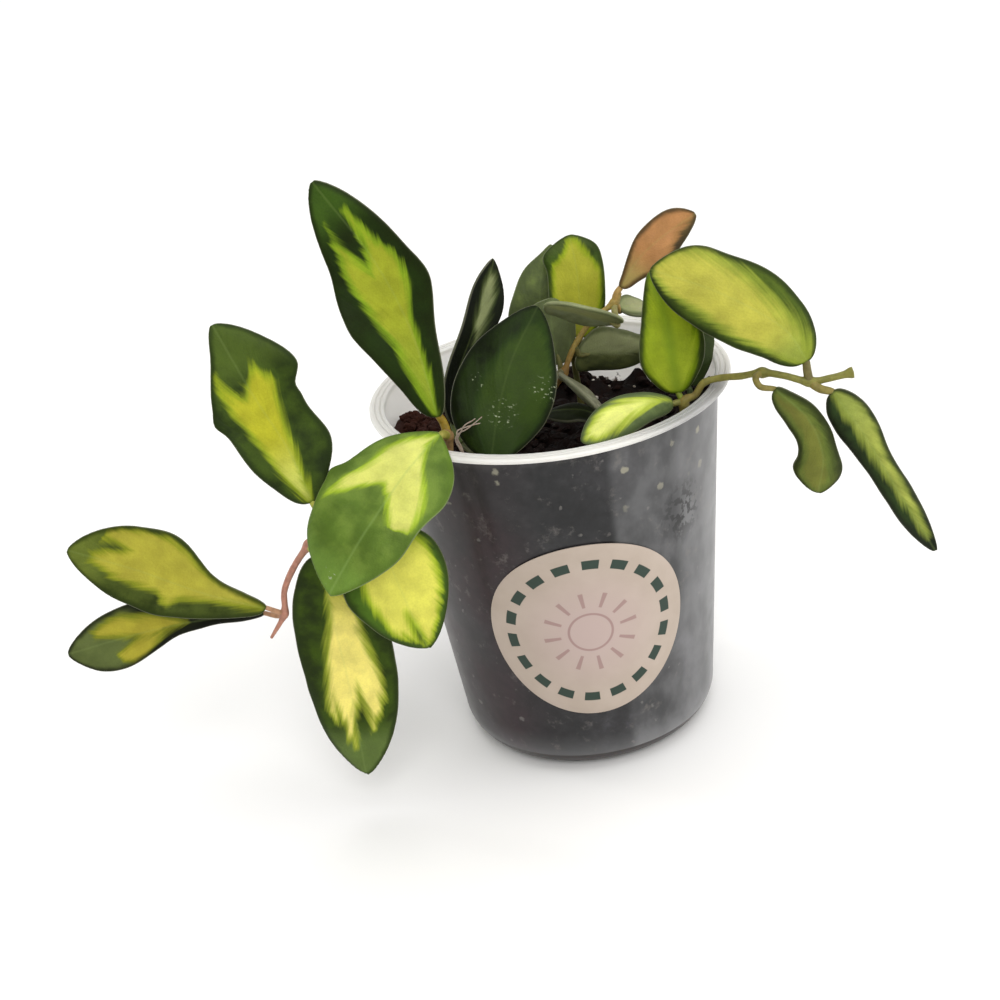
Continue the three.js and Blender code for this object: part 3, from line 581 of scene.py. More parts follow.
def round_skin(path, radius_at, sides):
    """Points and faces of a round tube with closed, slightly domed ends."""
    points, faces = [], []
    side = path[0][1].orthogonal().normalized()
    for step, (where, heading) in enumerate(path):
        side = (side - heading * side.dot(heading)).normalized()
        other = heading.cross(side)
        radius = radius_at(step / (len(path) - 1), where)
        for i in range(sides):
            a = 2 * math.pi * i / sides
            points.append(where + radius * (side * math.cos(a) + other * math.sin(a)))
    last = (len(path) - 1) * sides
    points.append(path[0][0] - path[0][1] * 0.3)
    points.append(path[-1][0] + path[-1][1] * 0.3)
    for i in range(sides):
        j = (i + 1) % sides
        for step in range(len(path) - 1):
            a = step * sides
            faces.append((a + i, a + j, a + sides + j, a + sides + i))
        faces.append((len(points) - 2, j, i))
        faces.append((len(points) - 1, last + i, last + j))
    return points, faces


def waxy_shoot(name, foot, middle, end):
    """A smooth young stem: olive at its foot, tan to pinkish brown further out, with darker
    patches, fine pores and a dull wax."""
    material, tree, sockets = start_material(name, {
        "Roughness": 0.5, "IOR": 1.45, "Specular IOR Level": 0.3,
        "Subsurface Weight": 0.1, "Subsurface Scale": 0.001})
    place = put(tree, "TexCoord", []).node.outputs["Object"]
    share = put(tree, "Attribute", [], attribute_name="share").node.outputs["Fac"]
    # Patches 9 mm long, and pores 1.4 mm apart.
    patches = put(tree, "TexNoise", {"Vector": place, "Scale": 1 / (9.091 * MM), "Detail": 4})
    pores = put(tree, "TexNoise", {"Vector": place, "Scale": 1 / (1.4286 * MM), "Detail": 4})
    shifted = put(tree, "Math", [patches, 0.7, share], operation="MULTIPLY_ADD")
    colour = put(tree, "ValToRGB", [shifted], [(0.35, foot), (0.75, middle), (1, end)])
    tone = put(tree, "ValToRGB", [pores], [(0.35, "#8c8880"), (0.6, "#ffffff")])
    spotted = put(tree, "Mix", {0: 0.35, 6: colour, 7: tone}, data_type="RGBA",
                  blend_type="MULTIPLY")
    tree.links.new(spotted, sockets["Base Color"])
    bump = put(tree, "Bump", {"Strength": 0.4, "Distance": 0.0002, "Height": pores})
    tree.links.new(bump, sockets["Normal"])
    return material


for name, (radius, taper, path_points, knots, shoot_colours) in SHOOTS.items():
    knot_places = [Vector(k) for k in knots]

    def shoot_radius(share, where):
        near = min((where - knot).length for knot in knot_places)
        swell = KNOT_SWELLING * math.exp(-(near / KNOT_REACH) ** 2)
        uneven = 0.06 * noise.noise(where * 0.5)
        return radius * (1 - taper * (0.4 * share + 0.6 * share ** 12)) + swell + uneven

    shoot_path = smooth_path(path_points, 12 * (len(path_points) - 1))
    shoot = skin(name + "_shoot", *round_skin(shoot_path, shoot_radius, SHOOT_SIDES))
    last_ring = len(shoot_path) - 1
    shares = [ring / last_ring for ring in range(last_ring + 1) for _ in range(SHOOT_SIDES)]
    mark_points(shoot, "share", shares + [0.0, 1.0])
    shoot.data.materials.append(waxy_shoot(name + "_skin", *shoot_colours))
    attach(shoot, "root")
    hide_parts(name)

# The leaves. Thick waxy blades shaped like a lens, lightly downy, yellow along the middle and
# dark green at the margin. Each grows on a short stalk from a knot of its shoot.
RIB_THICKNESS = 2
EDGE_THICKNESS = 0.8
END_HALF_WIDTH = 0.5
LEAF_ROW_LENGTH = 0.6
LEAF_COLUMNS = 36
VEIN_SLANT = 2.4
MIDRIB_GROOVE = 0.16
MIDRIB_RIDGE = 0.12
MIDRIB_REACH = 0.7
EDGE_WAVINESS = 0.3
BLADE_UNEVENNESS = 0.6
STALK_RADIUS = 1.15
STALK_SUNK = 0.8
PATH_STEPS = 600

# petiole is the path of the stalk, and rib that of the blade's middle, from foot to tip; face is
# the way its upper side looks. left and right are its half-widths at five places, cup and wave
# bend it, and notches are bites out of its edge, as (side, share of length, depth, spread).
# cream gives the yellow band as rows of (share of length, left edge, right edge), tongues the
# green wedges that run into it from the tip, as (left to right, share of length, spread).
# colours are margin, green, tip, fringe, yellow, and yellow near the foot. Some leaves also have
# a stalk of their own radius (thick), a softer right edge of the yellow (soft), a slimmer tip
# (pointed), a greener tip from another share of the length (tip_start), a midrib as (width,
# strength, colour), and pale flecks, dust and dried drops with painted glints, as (across, along,
# radius) of a patch.
LEAVES = {
    "leaf_tall": dict(
        petiole=[(-27.7, -33, 107.4), (-28.3, -31.8, 110.6)],
        rib=[(-29.4, -33, 113), (-32.9, -27, 135.4), (-39.9, -22, 154.3), (-51.8, -18, 174.7)],
        face=(-0.1, -1, 0.25), left=[6, 12, 14, 11, 6], right=[3.5, 5.5, 10, 8, 4.5],
        cup=2.5, wave=0.5,
        cream=[(0, -.3, .05), (.1, -.36, .2), (.2, -.42, .2), (.3, -.42, .16), (.4, -.5, .24),
               (.5, -.56, .42), (.6, -.64, .58), (.66, -.66, .56), (.7, -.66, .42),
               (.78, -.62, .42), (.85, -.5, .34)],
        tongues=[(-.18, .64, 2)],
        colours=("#182400", "#1c2d03", "#3c5716", "#7d9a1c", "#9da42a", "#8f9f2c"), stalk="#8a7220"),
    "leaf_front": dict(
        petiole=[(-27.7, -33, 107.4), (-28.7, -36, 109.2)],
        rib=[(-29.4, -37.5, 110.1), (-39.9, -51, 104.8), (-50.8, -59, 94.9), (-61.8, -62, 81.3)],
        face=(-0.2, -0.8, 0.6), left=[6.6, 12.5, 11, 10, 4.8],
        right=[8.5, 14.3, 16.7, 15.7, 10.4], cup=-1.5, wave=0.6, pointed=0.4,
        notches=[(1, 0.46, -1.3, 0.05)],
        cream=[(.02, 0, .35), (.1, 0, .55), (.2, -.2, .66), (.3, -.48, .66), (.4, -.72, .7),
               (.5, -.88, .76), (.54, -.86, .8), (.57, -.5, .83), (.6, .4, .84), (.66, .72, .84)],
        tongues=[(.2, .4, 3.3)], midrib=(0.6, 0.25, "#8aa45c"),
        painted_light_marks=[(2, 48, 3)],
        colours=("#566f26", "#6c8434", "#6c8a38", "#9ab42c", "#d2d46c", "#d6d874"), stalk="#8f8a3c"),
    "leaf_notched": dict(
        petiole=[(-59.8, -47, 95.6), (-62.3, -46.5, 97.6)],
        rib=[(-63.8, -45.5, 99.6), (-67.8, -41, 113.1), (-74.7, -37, 128.5), (-81.7, -32, 145.9)],
        face=(0.1, -1, 0.3), left=[5.8, 9.8, 10.6, 9.9, 3.6], right=[5.5, 10.7, 9.8, 13.7, 7.2],
        cup=1.5, wave=1,
        notches=[(1, .6, 1.7, .05), (-1, .62, -1.3, .045)],
        tip_start=0.68,
        cream=[(0, -.42, .08), (.1, -.42, .1), (.2, -.5, .1), (.3, -.5, .14), (.4, -.5, .22),
               (.5, -.56, .38), (.6, -.56, .52), (.66, -.58, .5), (.7, -.68, .42),
               (.74, -.75, .36), (.79, -.84, .3)],
        tongues=[(-.2, .65, 4.2)],
        colours=("#22300c", "#3a4c14", "#4c5e20", "#8c9c20", "#b2b02a", "#c8cc60"), stalk="#a8a848"),
    "leaf_tucked": dict(
        petiole=[(-59.8, -47, 95.6), (-55.3, -48.5, 95.7)],
        rib=[(-49.3, -50, 93.2), (-46.8, -51.5, 83.1), (-43.9, -52, 69.5), (-40.9, -50, 55.3)],
        face=(0.2, -1, 0.2), left=[7, 12, 13, 11, 5.5], right=[7, 12, 13.5, 10.5, 5.5],
        cup=-1, wave=0.5,
        cream=[(0, -.85, .55), (.3, -.82, .6), (.5, -.8, .64), (.7, -.78, .68), (.8, -.74, .7),
               (.87, -.62, .6), (.92, -.5, .4), (.96, -.3, .1)],
        tongues=[(.1, .72, .7), (.5, .84, 1.4)],
        colours=("#2a3c08", "#466418", "#3f5418", "#9cb026", "#dad65c", "#b0be38"), stalk="#a8a848"),
    "leaf_low": dict(
        petiole=[(-66.8, -47, 88.5), (-65.8, -48, 87.5)],
        rib=[(-64.6, -48, 86), (-64.3, -47.5, 67.3), (-63.9, -45.5, 42.4), (-64.9, -42, 13.4)],
        face=(0, -1, 0.2), left=[7, 12.5, 13, 12, 7], right=[6, 10, 11, 10.5, 6.5],
        cup=-1.5, wave=0.6,
        cream=[(.05, -.3, 0), (.2, -.46, 0), (.3, -.5, .06), (.4, -.5, .18), (.5, -.56, .36),
               (.6, -.66, .5), (.68, -.7, .62), (.73, -.68, .66), (.77, -.55, .52),
               (.82, -.48, .38), (.88, .05, .26)],
        tongues=[(-.16, .68, 1.5), (.42, .72, 1)],
        colours=("#223004", "#364a08", "#62763a", "#909c2c", "#eee078", "#b8b640"), stalk="#a8a848"),
    "leaf_far_upper": dict(
        thick=0.7, petiole=[(-77.3, -44.5, 68.2), (-79.3, -45.4, 69.9)],
        rib=[(-81.6, -45.3, 71), (-97.3, -46, 78.8), (-112.7, -44, 86.8), (-130.2, -40, 93.2)],
        face=(0, -1, 0.3), left=[3.5, 6.5, 9, 9, 5], right=[2, 4.8, 11.5, 11, 6],
        cup=1, wave=0.4,
        cream=[(0, -.15, .6), (.1, -.28, 1), (.25, -.3, .84), (.42, -.45, .86), (.46, -.66, .9),
               (.5, -.6, .86), (.54, -.42, .9), (.7, -.45, .96), (.78, -.42, .96), (.84, -.3, .9),
               (.88, -.2, .1)],
        tongues=[(.42, .74, 2)],
        colours=("#283408", "#46521c", "#66722a", "#848c20", "#ada63a", "#a8a23c"), stalk="#b08868"),
    "leaf_far_lower": dict(
        thick=0.7, petiole=[(-77.3, -44.5, 68.2), (-79.6, -42.6, 66.8)],
        rib=[(-83.3, -41.5, 67.6), (-101.3, -37.5, 66), (-119.8, -34.5, 62.8),
             (-139.8, -33, 58.6)],
        face=(0, -1, 0.3), left=[1.2, 1.5, 3.4, 7.2, 6], right=[2, 4, 7.5, 8, 4.5],
        cup=1, wave=0.3,
        tip_start=0.6,
        cream=[(.4, .05, .2), (.46, -.1, .35), (.52, -.35, .5), (.58, -.7, .55),
               (.64, -.95, .62), (.7, -.95, .8), (.76, -.7, .8),
               (.8, -.2, .75), (.84, .3, .6)],
        tongues=[(-.15, .66, 2.4)],
        colours=("#0e1204", "#181e08", "#64703c", "#7c8220", "#b0a636", "#4c5420"), stalk="#b08868"),
    "leaf_lime": dict(
        thick=0.9, petiole=[(34.9, -19.5, 101.5), (34.4, -19, 102.7)],
        rib=[(33.7, -18.5, 104.2), (33.3, -15.5, 113.2), (32.8, -11, 123.6), (30.7, -5, 134)],
        face=(0, -1, 0.3), left=[5, 8, 7.5, 5.5, 2.5], right=[4.5, 8, 8.5, 6, 3],
        cup=1.5, wave=0.2,
        cream=[(0, -.9, .78), (.5, -.92, .8), (.75, -.9, .6), (.95, -.7, .2)],
        midrib=(2.6, 0.55, "#5f7a14"),
        colours=("#1e2a04", "#3c4c08", "#586c0c", "#6f8600", "#8ea01c", "#98a828"), stalk="#7c8a2c"),
    "leaf_rim": dict(
        thick=0.9, petiole=[(34.9, -19.5, 101.5), (33.4, -19.8, 102)],
        rib=[(31.9, -20.5, 102.4), (24.4, -24, 104.3), (14.9, -28.5, 103.4), (6.5, -32.5, 100.1)],
        face=(0, -0.7, 0.7), left=[2.5, 4, 5, 5, 3.5], right=[2, 4, 5, 4.5, 2.5],
        cup=-0.8, wave=0.3,
        cream=[(.05, .25, .45), (.1, .1, .45), (.2, 0, .4), (.3, -.2, .45), (.4, -.3, .55),
               (.5, -.38, .6), (.6, -.5, .64), (.7, -.62, .7), (.8, -.62, .68), (.88, -.5, .6),
               (.95, -.2, .2)],
        colours=("#4c5a38", "#6a7a48", "#7a8a44", "#b0c040", "#e6ea80", "#aab850"), stalk="#7c7a3c"),
    "leaf_hanging": dict(
        thick=0.9, petiole=[(55.4, -26, 109.8), (53.3, -28.5, 109.7), (54.1, -31, 108)],
        rib=[(57.8, -31, 106.9), (65.3, -32, 98.1), (68.4, -33, 87.5), (66.9, -31, 75.4)],
        face=(0, -1, 0.1), left=[1.5, 3, 3.5, 4, 4.5], right=[3.5, 5, 5, 6, 5.5],
        cup=-1.5, wave=0.3,
        cream=[(0, 0, .9), (.3, -.3, .85), (.6, -.3, .82), (.9, -.4, .75), (1, -.3, .5)],
        colours=("#28300f", "#465220", "#586228", "#62702e", "#727632", "#66662c"), stalk="#7c7238"),
    "leaf_arch": dict(
        petiole=[(66.8, -30, 107.2), (66.5, -30, 110.1)],
        rib=[(66.7, -30, 112.9), (60.7, -29.5, 123.2), (46.2, -27, 133.6), (29.7, -21, 140.4)],
        face=(0, -1, 0.3), left=[6.3, 8.8, 10.5, 10, 6], right=[4.3, 7.4, 10, 9.5, 7],
        cup=-1.5, wave=0.5, soft=2.2,
        cream=[(0, -.3, .4), (.05, -.5, .55), (.12, -.68, .55), (.2, -.76, .5), (.3, -.78, .45),
               (.5, -.77, .5), (.6, -.74, .7), (.7, -.68, .85), (.8, -.64, 1),
               (.9, -.58, 1.1), (1, -.5, 1.1)],
        colours=("#1f2c08", "#4c5e1a", "#2a3810", "#8c9a34", "#bab64a", "#939f40"), stalk="#6c6438"),
    "leaf_long": dict(
        petiole=[(66.8, -30, 107.2), (69.3, -31.5, 105.4)],
        rib=[(72.3, -32, 104.4), (79.3, -33, 92.1), (87.4, -33, 74.4), (97.4, -31, 53.2)],
        face=(0, -1, 0.1), left=[3.5, 4.5, 3, 3.2, 2], right=[4, 5.2, 4, 3.6, 2.6],
        cup=-1.5, wave=0.3,
        cream=[(0, -.75, .3), (.2, -.85, .28), (.45, -.85, .26), (.6, -.82, .22), (.7, -.72, .15),
               (.8, -.62, .12), (.92, -.3, .1)],
        colours=("#161e0a", "#2a3c18", "#1a2212", "#788434", "#a0a84c", "#909c48"), stalk="#7c7238"),
    "leaf_roof": dict(
        thick=0.9, petiole=[(20.8, 8, 122.1), (20.6, 6, 120.1)],
        rib=[(21.4, 4, 117.6), (15.5, 0, 122), (8.2, -4, 126.9), (1.9, -7, 129.9)],
        face=(0.1, 0.6, 0.85), left=[3.5, 5.5, 6, 5.5, 3.5], right=[3.5, 5.5, 6, 5.5, 3.5],
        cup=-1, wave=0.2,
        cream=[(0, -.9, 0), (.4, -.9, .1), (.8, -.9, .1), (1, -.5, 0)],
        colours=("#7c8456", "#aab288", "#a8b080", "#b4ba80", "#c0c480", "#b4ba80"), stalk="#8a8450"),
    "leaf_copper": dict(
        thick=0.9, petiole=[(20.8, 8, 122.1), (21.8, 8.3, 124.6)],
        rib=[(23.1, 8.5, 126.1), (29, 9.5, 133.1), (36.5, 10, 138.6), (45.6, 11, 143.1)],
        face=(-0.3, -1, 0.2), left=[1, 2.5, 4.5, 5, 3.5], right=[2.5, 5, 6, 5, 2.5],
        cup=1, wave=0.3,
        cream=[(0, -1.2, 1.2), (.3, -1.2, 1), (.6, -1.2, .75), (.68, -1.2, .6), (.8, -1.2, .3),
               (.9, -1.2, .2), (1, -.8, .3)],
        colours=("#3f3420", "#544428", "#6a5a34", "#a47848", "#bc8856", "#b09a5c"), stalk="#a8884c"),
    "leaf_bud": dict(
        thick=0.9, petiole=[(20.8, 8, 122.1), (21.6, 9.6, 120.5)],
        rib=[(22.3, 10.5, 119.1), (25.3, 13.5, 118), (28.3, 17, 116.1), (31.3, 21, 113.2)],
        face=(0, -0.6, 0.8), left=[2.4, 3.6, 4.1, 3.5, 2.4], right=[2.4, 3.6, 4.1, 3.5, 2.4],
        cup=0.5, wave=0.1,
        cream=[(0, -.8, .8), (.5, -.8, .8), (1, -.5, .5)],
        colours=("#5c6440", "#7c8460", "#868c64", "#949a6c", "#9ea074", "#949a6c"), stalk="#a8884c"),
    "leaf_side": dict(
        thick=0.9, petiole=[(8.4, 3, 113.1), (8.9, 4, 111.1)],
        rib=[(8.9, 5.3, 109.9), (16.4, 10, 107.7), (24.4, 14, 105.3), (31.8, 17, 104.3)],
        face=(-0.1, 0.9, 0.3), left=[6, 7.8, 7.5, 6.2, 3.5], right=[6.4, 7.6, 6.2, 4.6, 2.8],
        cup=1, wave=0.4,
        cream=[(0, .1, 1.2), (.5, -.1, 1.2), (1, .1, 1.2)],
        colours=("#3c4418", "#747a40", "#747c48", "#a0a674", "#b6ba88", "#a0a674"), stalk="#6c6a3c"),
    "leaf_slim": dict(
        thick=0.9, petiole=[(4.4, 1.5, 106.1), (3.4, 0, 107.1)],
        rib=[(3.7, -2.5, 107.7), (6.9, -7, 105.3), (10.4, -11.5, 102.4), (13.9, -15.5, 99.5)],
        face=(0.7, 0.15, 0.65), left=[2.5, 4, 4.5, 4, 2.5], right=[2.5, 4, 4.5, 4, 2.5],
        cup=0.8, wave=0.2,
        colours=("#7a7a62", "#a4a68c", "#acac90", "#b4b498", "#bcbca0", "#b4b498"), stalk="#6c6a4c"),
    "leaf_inner": dict(
        thick=0.9, petiole=[(4.4, 1.5, 106.1), (3.9, 2.8, 106.9)],
        rib=[(3.7, 3.8, 108), (2.9, 5, 114.5), (2.9, 6.5, 120.5), (4.4, 8, 126)],
        face=(-0.2, 1, -0.2), left=[4, 6, 6.5, 6, 3.5], right=[4, 6, 6.5, 6, 3.5],
        cup=0.8, wave=0.2,
        colours=("#444e26", "#606c3e", "#68744a", "#7a8250", "#8a9058", "#7a8250"), stalk="#6c6a3c"),
    "leaf_shade": dict(
        thick=0.9, petiole=[(-5, 4.5, 92), (-4, 2.8, 93.6)],
        rib=[(-1.5, 1, 95), (3, -1.5, 96), (8, -3.5, 96), (13, -5.5, 94.5)],
        face=(0, -0.3, 1), left=[2, 3, 3.5, 3, 2], right=[2, 3, 3.5, 3, 2],
        cup=-0.4, wave=0.2,
        colours=("#181e0a", "#262e16", "#2e361a", "#3e4426", "#4e5434", "#3e4426"), stalk="#4c4a2c"),
    "leaf_dark": dict(
        petiole=[(-17.5, -31.8, 95), (-17.8, -34, 96)],
        rib=[(-17.4, -35, 99.9), (-14, -29.5, 110.4), (-8.5, -22.5, 121.8), (-0.1, -14, 132.1)],
        face=(-0.1, -1, 0.3), left=[7.5, 12, 12.5, 10, 4.5], right=[7, 11.5, 13, 11.5, 6],
        cup=-2, wave=0.6, midrib=(0.5, 0.04, "#93a860"),
        painted_light_marks=[(1.5, 14, 5), (10.5, 23, 5), (-7, 21, 2.5)],
        cream=[(0, -.35, .9), (.3, -.5, .9), (.7, -.4, .95), (.9, -.1, .7)],
        colours=("#0c1500", "#1c2b05", "#1f3006", "#213407", "#30430f", "#273a0a"), stalk="#5c6a34"),
    "leaf_narrow": dict(
        petiole=[(-25.4, -17.8, 98), (-26.2, -16, 99.7)],
        rib=[(-26.4, -14, 101.9), (-25.2, -8, 112.3), (-18, 0, 125.2), (-10.3, 8, 139.5)],
        face=(0.7, -0.7, 0.1), left=[3, 4, 3.5, 3.5, 3], right=[3, 3.6, 3.4, 6.3, 5],
        cup=1.5, wave=0.4,
        cream=[(.58, .3, .5), (.66, -.1, .5), (.75, -.25, .5), (.85, -.35, .55), (.93, -.2, .5)],
        colours=("#060c00", "#0c1402", "#141c06", "#3c4622", "#8c9464", "#4a5230"), stalk="#5c6a34"),
    "leaf_grey": dict(
        thick=0.9, petiole=[(7.9, 19.5, 104.6), (5.9, 19.5, 106.1)],
        rib=[(3.4, 19.5, 108.6), (0.9, 20.5, 118.2), (1.9, 23.5, 127.1), (6.3, 28, 134.5)],
        face=(0, 1, -0.2), left=[5.5, 7.5, 8, 7, 4.5], right=[8, 9.5, 7, 4.5, 1.5],
        cup=0.8, wave=0.3,
        colours=("#3c4c18", "#728436", "#6e8234", "#7e8e40", "#8e9a58", "#7e8e40"), stalk="#6c6a3c"),
    "leaf_yellow": dict(
        thick=0.9, petiole=[(7.9, 19.5, 104.6), (9.4, 18.5, 106.7)],
        rib=[(10.9, 17.5, 109.7), (11.7, 18, 119.3), (12, 20, 129.7), (11.3, 22.5, 138.5)],
        face=(0, -1, 0.2), left=[5, 8, 8, 8, 6.5], right=[4, 6.5, 7, 7, 5],
        cup=0.8, wave=0.3,
        cream=[(0, -.8, .8), (.3, -.9, .85), (.6, -.86, .92), (.7, -.75, .7), (.76, -.55, .46),
               (.85, -.32, .4), (.95, -.2, .45)],
        colours=("#2c3c10", "#4c6420", "#4a5a28", "#98ac20", "#b6b63a", "#b0b040"), stalk="#6c6a3c"),
    "leaf_corner": dict(
        thick=0.9, petiole=[(38.2, -4, 96.5), (38.1, -3.8, 98)],
        rib=[(38.2, -3.5, 99.3), (39.3, -1, 104.2), (41.8, 2, 109.2), (45.3, 5.5, 113.6)],
        face=(0.3, -1, 0.2), left=[4, 6.5, 7, 6.5, 4], right=[3, 4.5, 5, 4.5, 3],
        cup=1, wave=0.2,
        colours=("#36441e", "#202a0a", "#2c3614", "#3e4c26", "#5c6c34", "#3e4c26"), stalk="#4c5a34"),
}


def clamp(value, low, high):
    return max(low, min(high, value))


def half_width(leaf, sign, t):
    """A smooth half-width between the measured ones, with a round foot and a slimmer tip."""
    widths = leaf["left"] if sign < 0 else leaf["right"]
    pointed = leaf.get("pointed", 0)

    def ends(s):
        return (4 * s * (1 - s)) ** (0.5 + 0.25 * s + pointed * (1 - s) ** 4)

    def near(k):
        k = clamp(k, 0, 4)
        return widths[k] / ends(0.1 + 0.2 * k)

    def slope(k):
        return (near(k + 1) - near(k - 1)) / 2

    place = clamp((t - 0.1) / 0.2, 0, 4)
    i = min(int(place), 3)
    u = place - i
    smooth = (near(i) * (2 * u ** 3 - 3 * u ** 2 + 1) + slope(i) * (u ** 3 - 2 * u ** 2 + u)
              + near(i + 1) * (3 * u ** 2 - 2 * u ** 3) + slope(i + 1) * (u ** 3 - u ** 2))
    nicks = sum(depth * math.exp(-((t - spot) / spread) ** 2)
                for side, spot, depth, spread in leaf.get("notches", []) if side == sign)
    return END_HALF_WIDTH + smooth * ends(t) - nicks


def between(rows, t):
    """The left and right edge of the yellow band at a share of the length."""
    if t <= rows[0][0]:
        return rows[0][1:]
    for (t0, left0, right0), (t1, left1, right1) in zip(rows, rows[1:]):
        if t <= t1:
            u = (t - t0) / (t1 - t0)
            return left0 + (left1 - left0) * u, right0 + (right1 - right0) * u
    return rows[-1][1:]


def yellow_depth(leaf, s, t, width, length):
    """Millimetres inside the yellow of the blade, negative in the green."""
    rows = leaf.get("cream")
    if not rows:
        return -6.0
    left, right = between(rows, t)
    depth = min(s - left, (right - s) / leaf.get("soft", 1)) * width
    depth = min(depth, (t - rows[0][0]) * length + 1, (rows[-1][0] - t) * length + 0.5)
    for middle, start, spread in leaf.get("tongues", []):
        reach = (t - start) * spread
        depth = min(depth, max(abs(s - middle) - reach, (start - t) * 2) * width)
    return clamp(depth, -6, 6)


def rib_length(leaf):
    return sum((Vector(b) - Vector(a)).length for a, b in zip(leaf["rib"], leaf["rib"][1:]))


def leaf_skin(name, leaf):
    """The blade and its stalk as one mesh, with its own flat coordinates and colour depths."""
    length = rib_length(leaf)
    rows = int(length / LEAF_ROW_LENGTH)
    loop = 2 * LEAF_COLUMNS
    path = smooth_path(leaf["rib"], PATH_STEPS)
    widest = max(*leaf["left"], *leaf["right"])
    seed = 10.0 * list(LEAVES).index(name)
    points, faces, marks = [], [], []

    def cross_section(t):
        """The middle of the blade at a share of its length, and the ways across it and up."""
        centre, along = path[round(PATH_STEPS * t)]
        across = along.cross(Vector(leaf["face"])).normalized()
        return centre, across, across.cross(along).normalized()

    for row in range(rows + 1):
        t = (1 - math.cos(math.pi * row / rows)) / 2
        place = t * length
        middle_part = math.sin(math.pi * t)
        centre, across, up = cross_section(t)
        for turn in range(loop):
            # One loop round the blade: over the upper side, then back under it.
            s = -math.cos(math.pi * turn / LEAF_COLUMNS)
            under = turn > LEAF_COLUMNS
            sign = -1 if s < 0 else 1
            wavy = EDGE_WAVINESS * noise.noise((place * 0.13, sign * 7, seed)) * middle_part
            width = half_width(leaf, sign, t) + wavy
            reach = s * width
            lens = math.sqrt(max(0, 1 - s * s) * middle_part)
            edge = (1 - s ** 12) ** 0.5 * (1 - (2 * t - 1) ** 24) ** 0.5
            half = (EDGE_THICKNESS * edge + (RIB_THICKNESS - EDGE_THICKNESS) * lens) / 2
            midrib = MIDRIB_RIDGE if under else -MIDRIB_GROOVE
            half += midrib * math.exp(-(reach / MIDRIB_REACH) ** 2) * middle_part
            lift = leaf["cup"] * (reach / widest) ** 2
            lift += leaf["wave"] * s * s * math.sin(3 * math.pi * t + 2 * s)
            rough = centre + across * reach
            lift += BLADE_UNEVENNESS * noise.noise(rough * 0.1) * middle_part
            points.append(rough + up * (lift + (-half if under else half)))
            margin = min((1 - abs(s)) * width, place + 0.5, length - place + 0.5)
            marks.append((yellow_depth(leaf, s, t, width, length), margin, float(under),
                          (reach, place, 0), (place - VEIN_SLANT * abs(reach), reach, seed)))
    for row in range(rows):
        for i in range(loop):
            a, b = row * loop + i, row * loop + (i + 1) % loop
            faces.append((a, a + loop, b + loop, b))
    for row in (0, rows):
        ring = range(row * loop, row * loop + loop)
        cap = len(points)
        points.append(sum((points[i] for i in ring), Vector()) / loop)
        end = length if row else 0
        marks.append((marks[ring[LEAF_COLUMNS // 2]][0], 0.4, 0.5, (0, end, 0), (end, 0, 0)))
        for i in range(loop):
            pair = ring[i], ring[(i + 1) % loop]
            faces.append((cap, *(reversed(pair) if row else pair)))
    # The stalk sinks into the underside of the blade.
    blade_points = len(points)
    below = []
    for t in (0.02, 0.14):
        centre, _, up = cross_section(t)
        below.append(centre - up * STALK_SUNK)
    thick = leaf.get("thick", STALK_RADIUS)
    stalk_points, stalk_faces = round_skin(
        smooth_path([*leaf["petiole"], *below], 36),
        lambda share, where: thick * (1.05 - 0.2 * share - 0.45 * share ** 4), 14)
    points += stalk_points
    faces += [tuple(blade_points + i for i in face) for face in stalk_faces]
    marks += [(0.0, 3.0, 0.0, (0, 0, 0), (0, 0, 0))] * len(stalk_points)
    piece = skin(name + "_blade", points, faces, 60)
    mark_points(piece, "share", [0.3] * len(points))
    for key, values in zip(("depth", "margin", "under", "flat", "vein"), zip(*marks)):
        mark_points(piece, key, values)
    for polygon in piece.data.polygons:
        polygon.material_index = int(min(polygon.vertices) >= blade_points)
    return piece


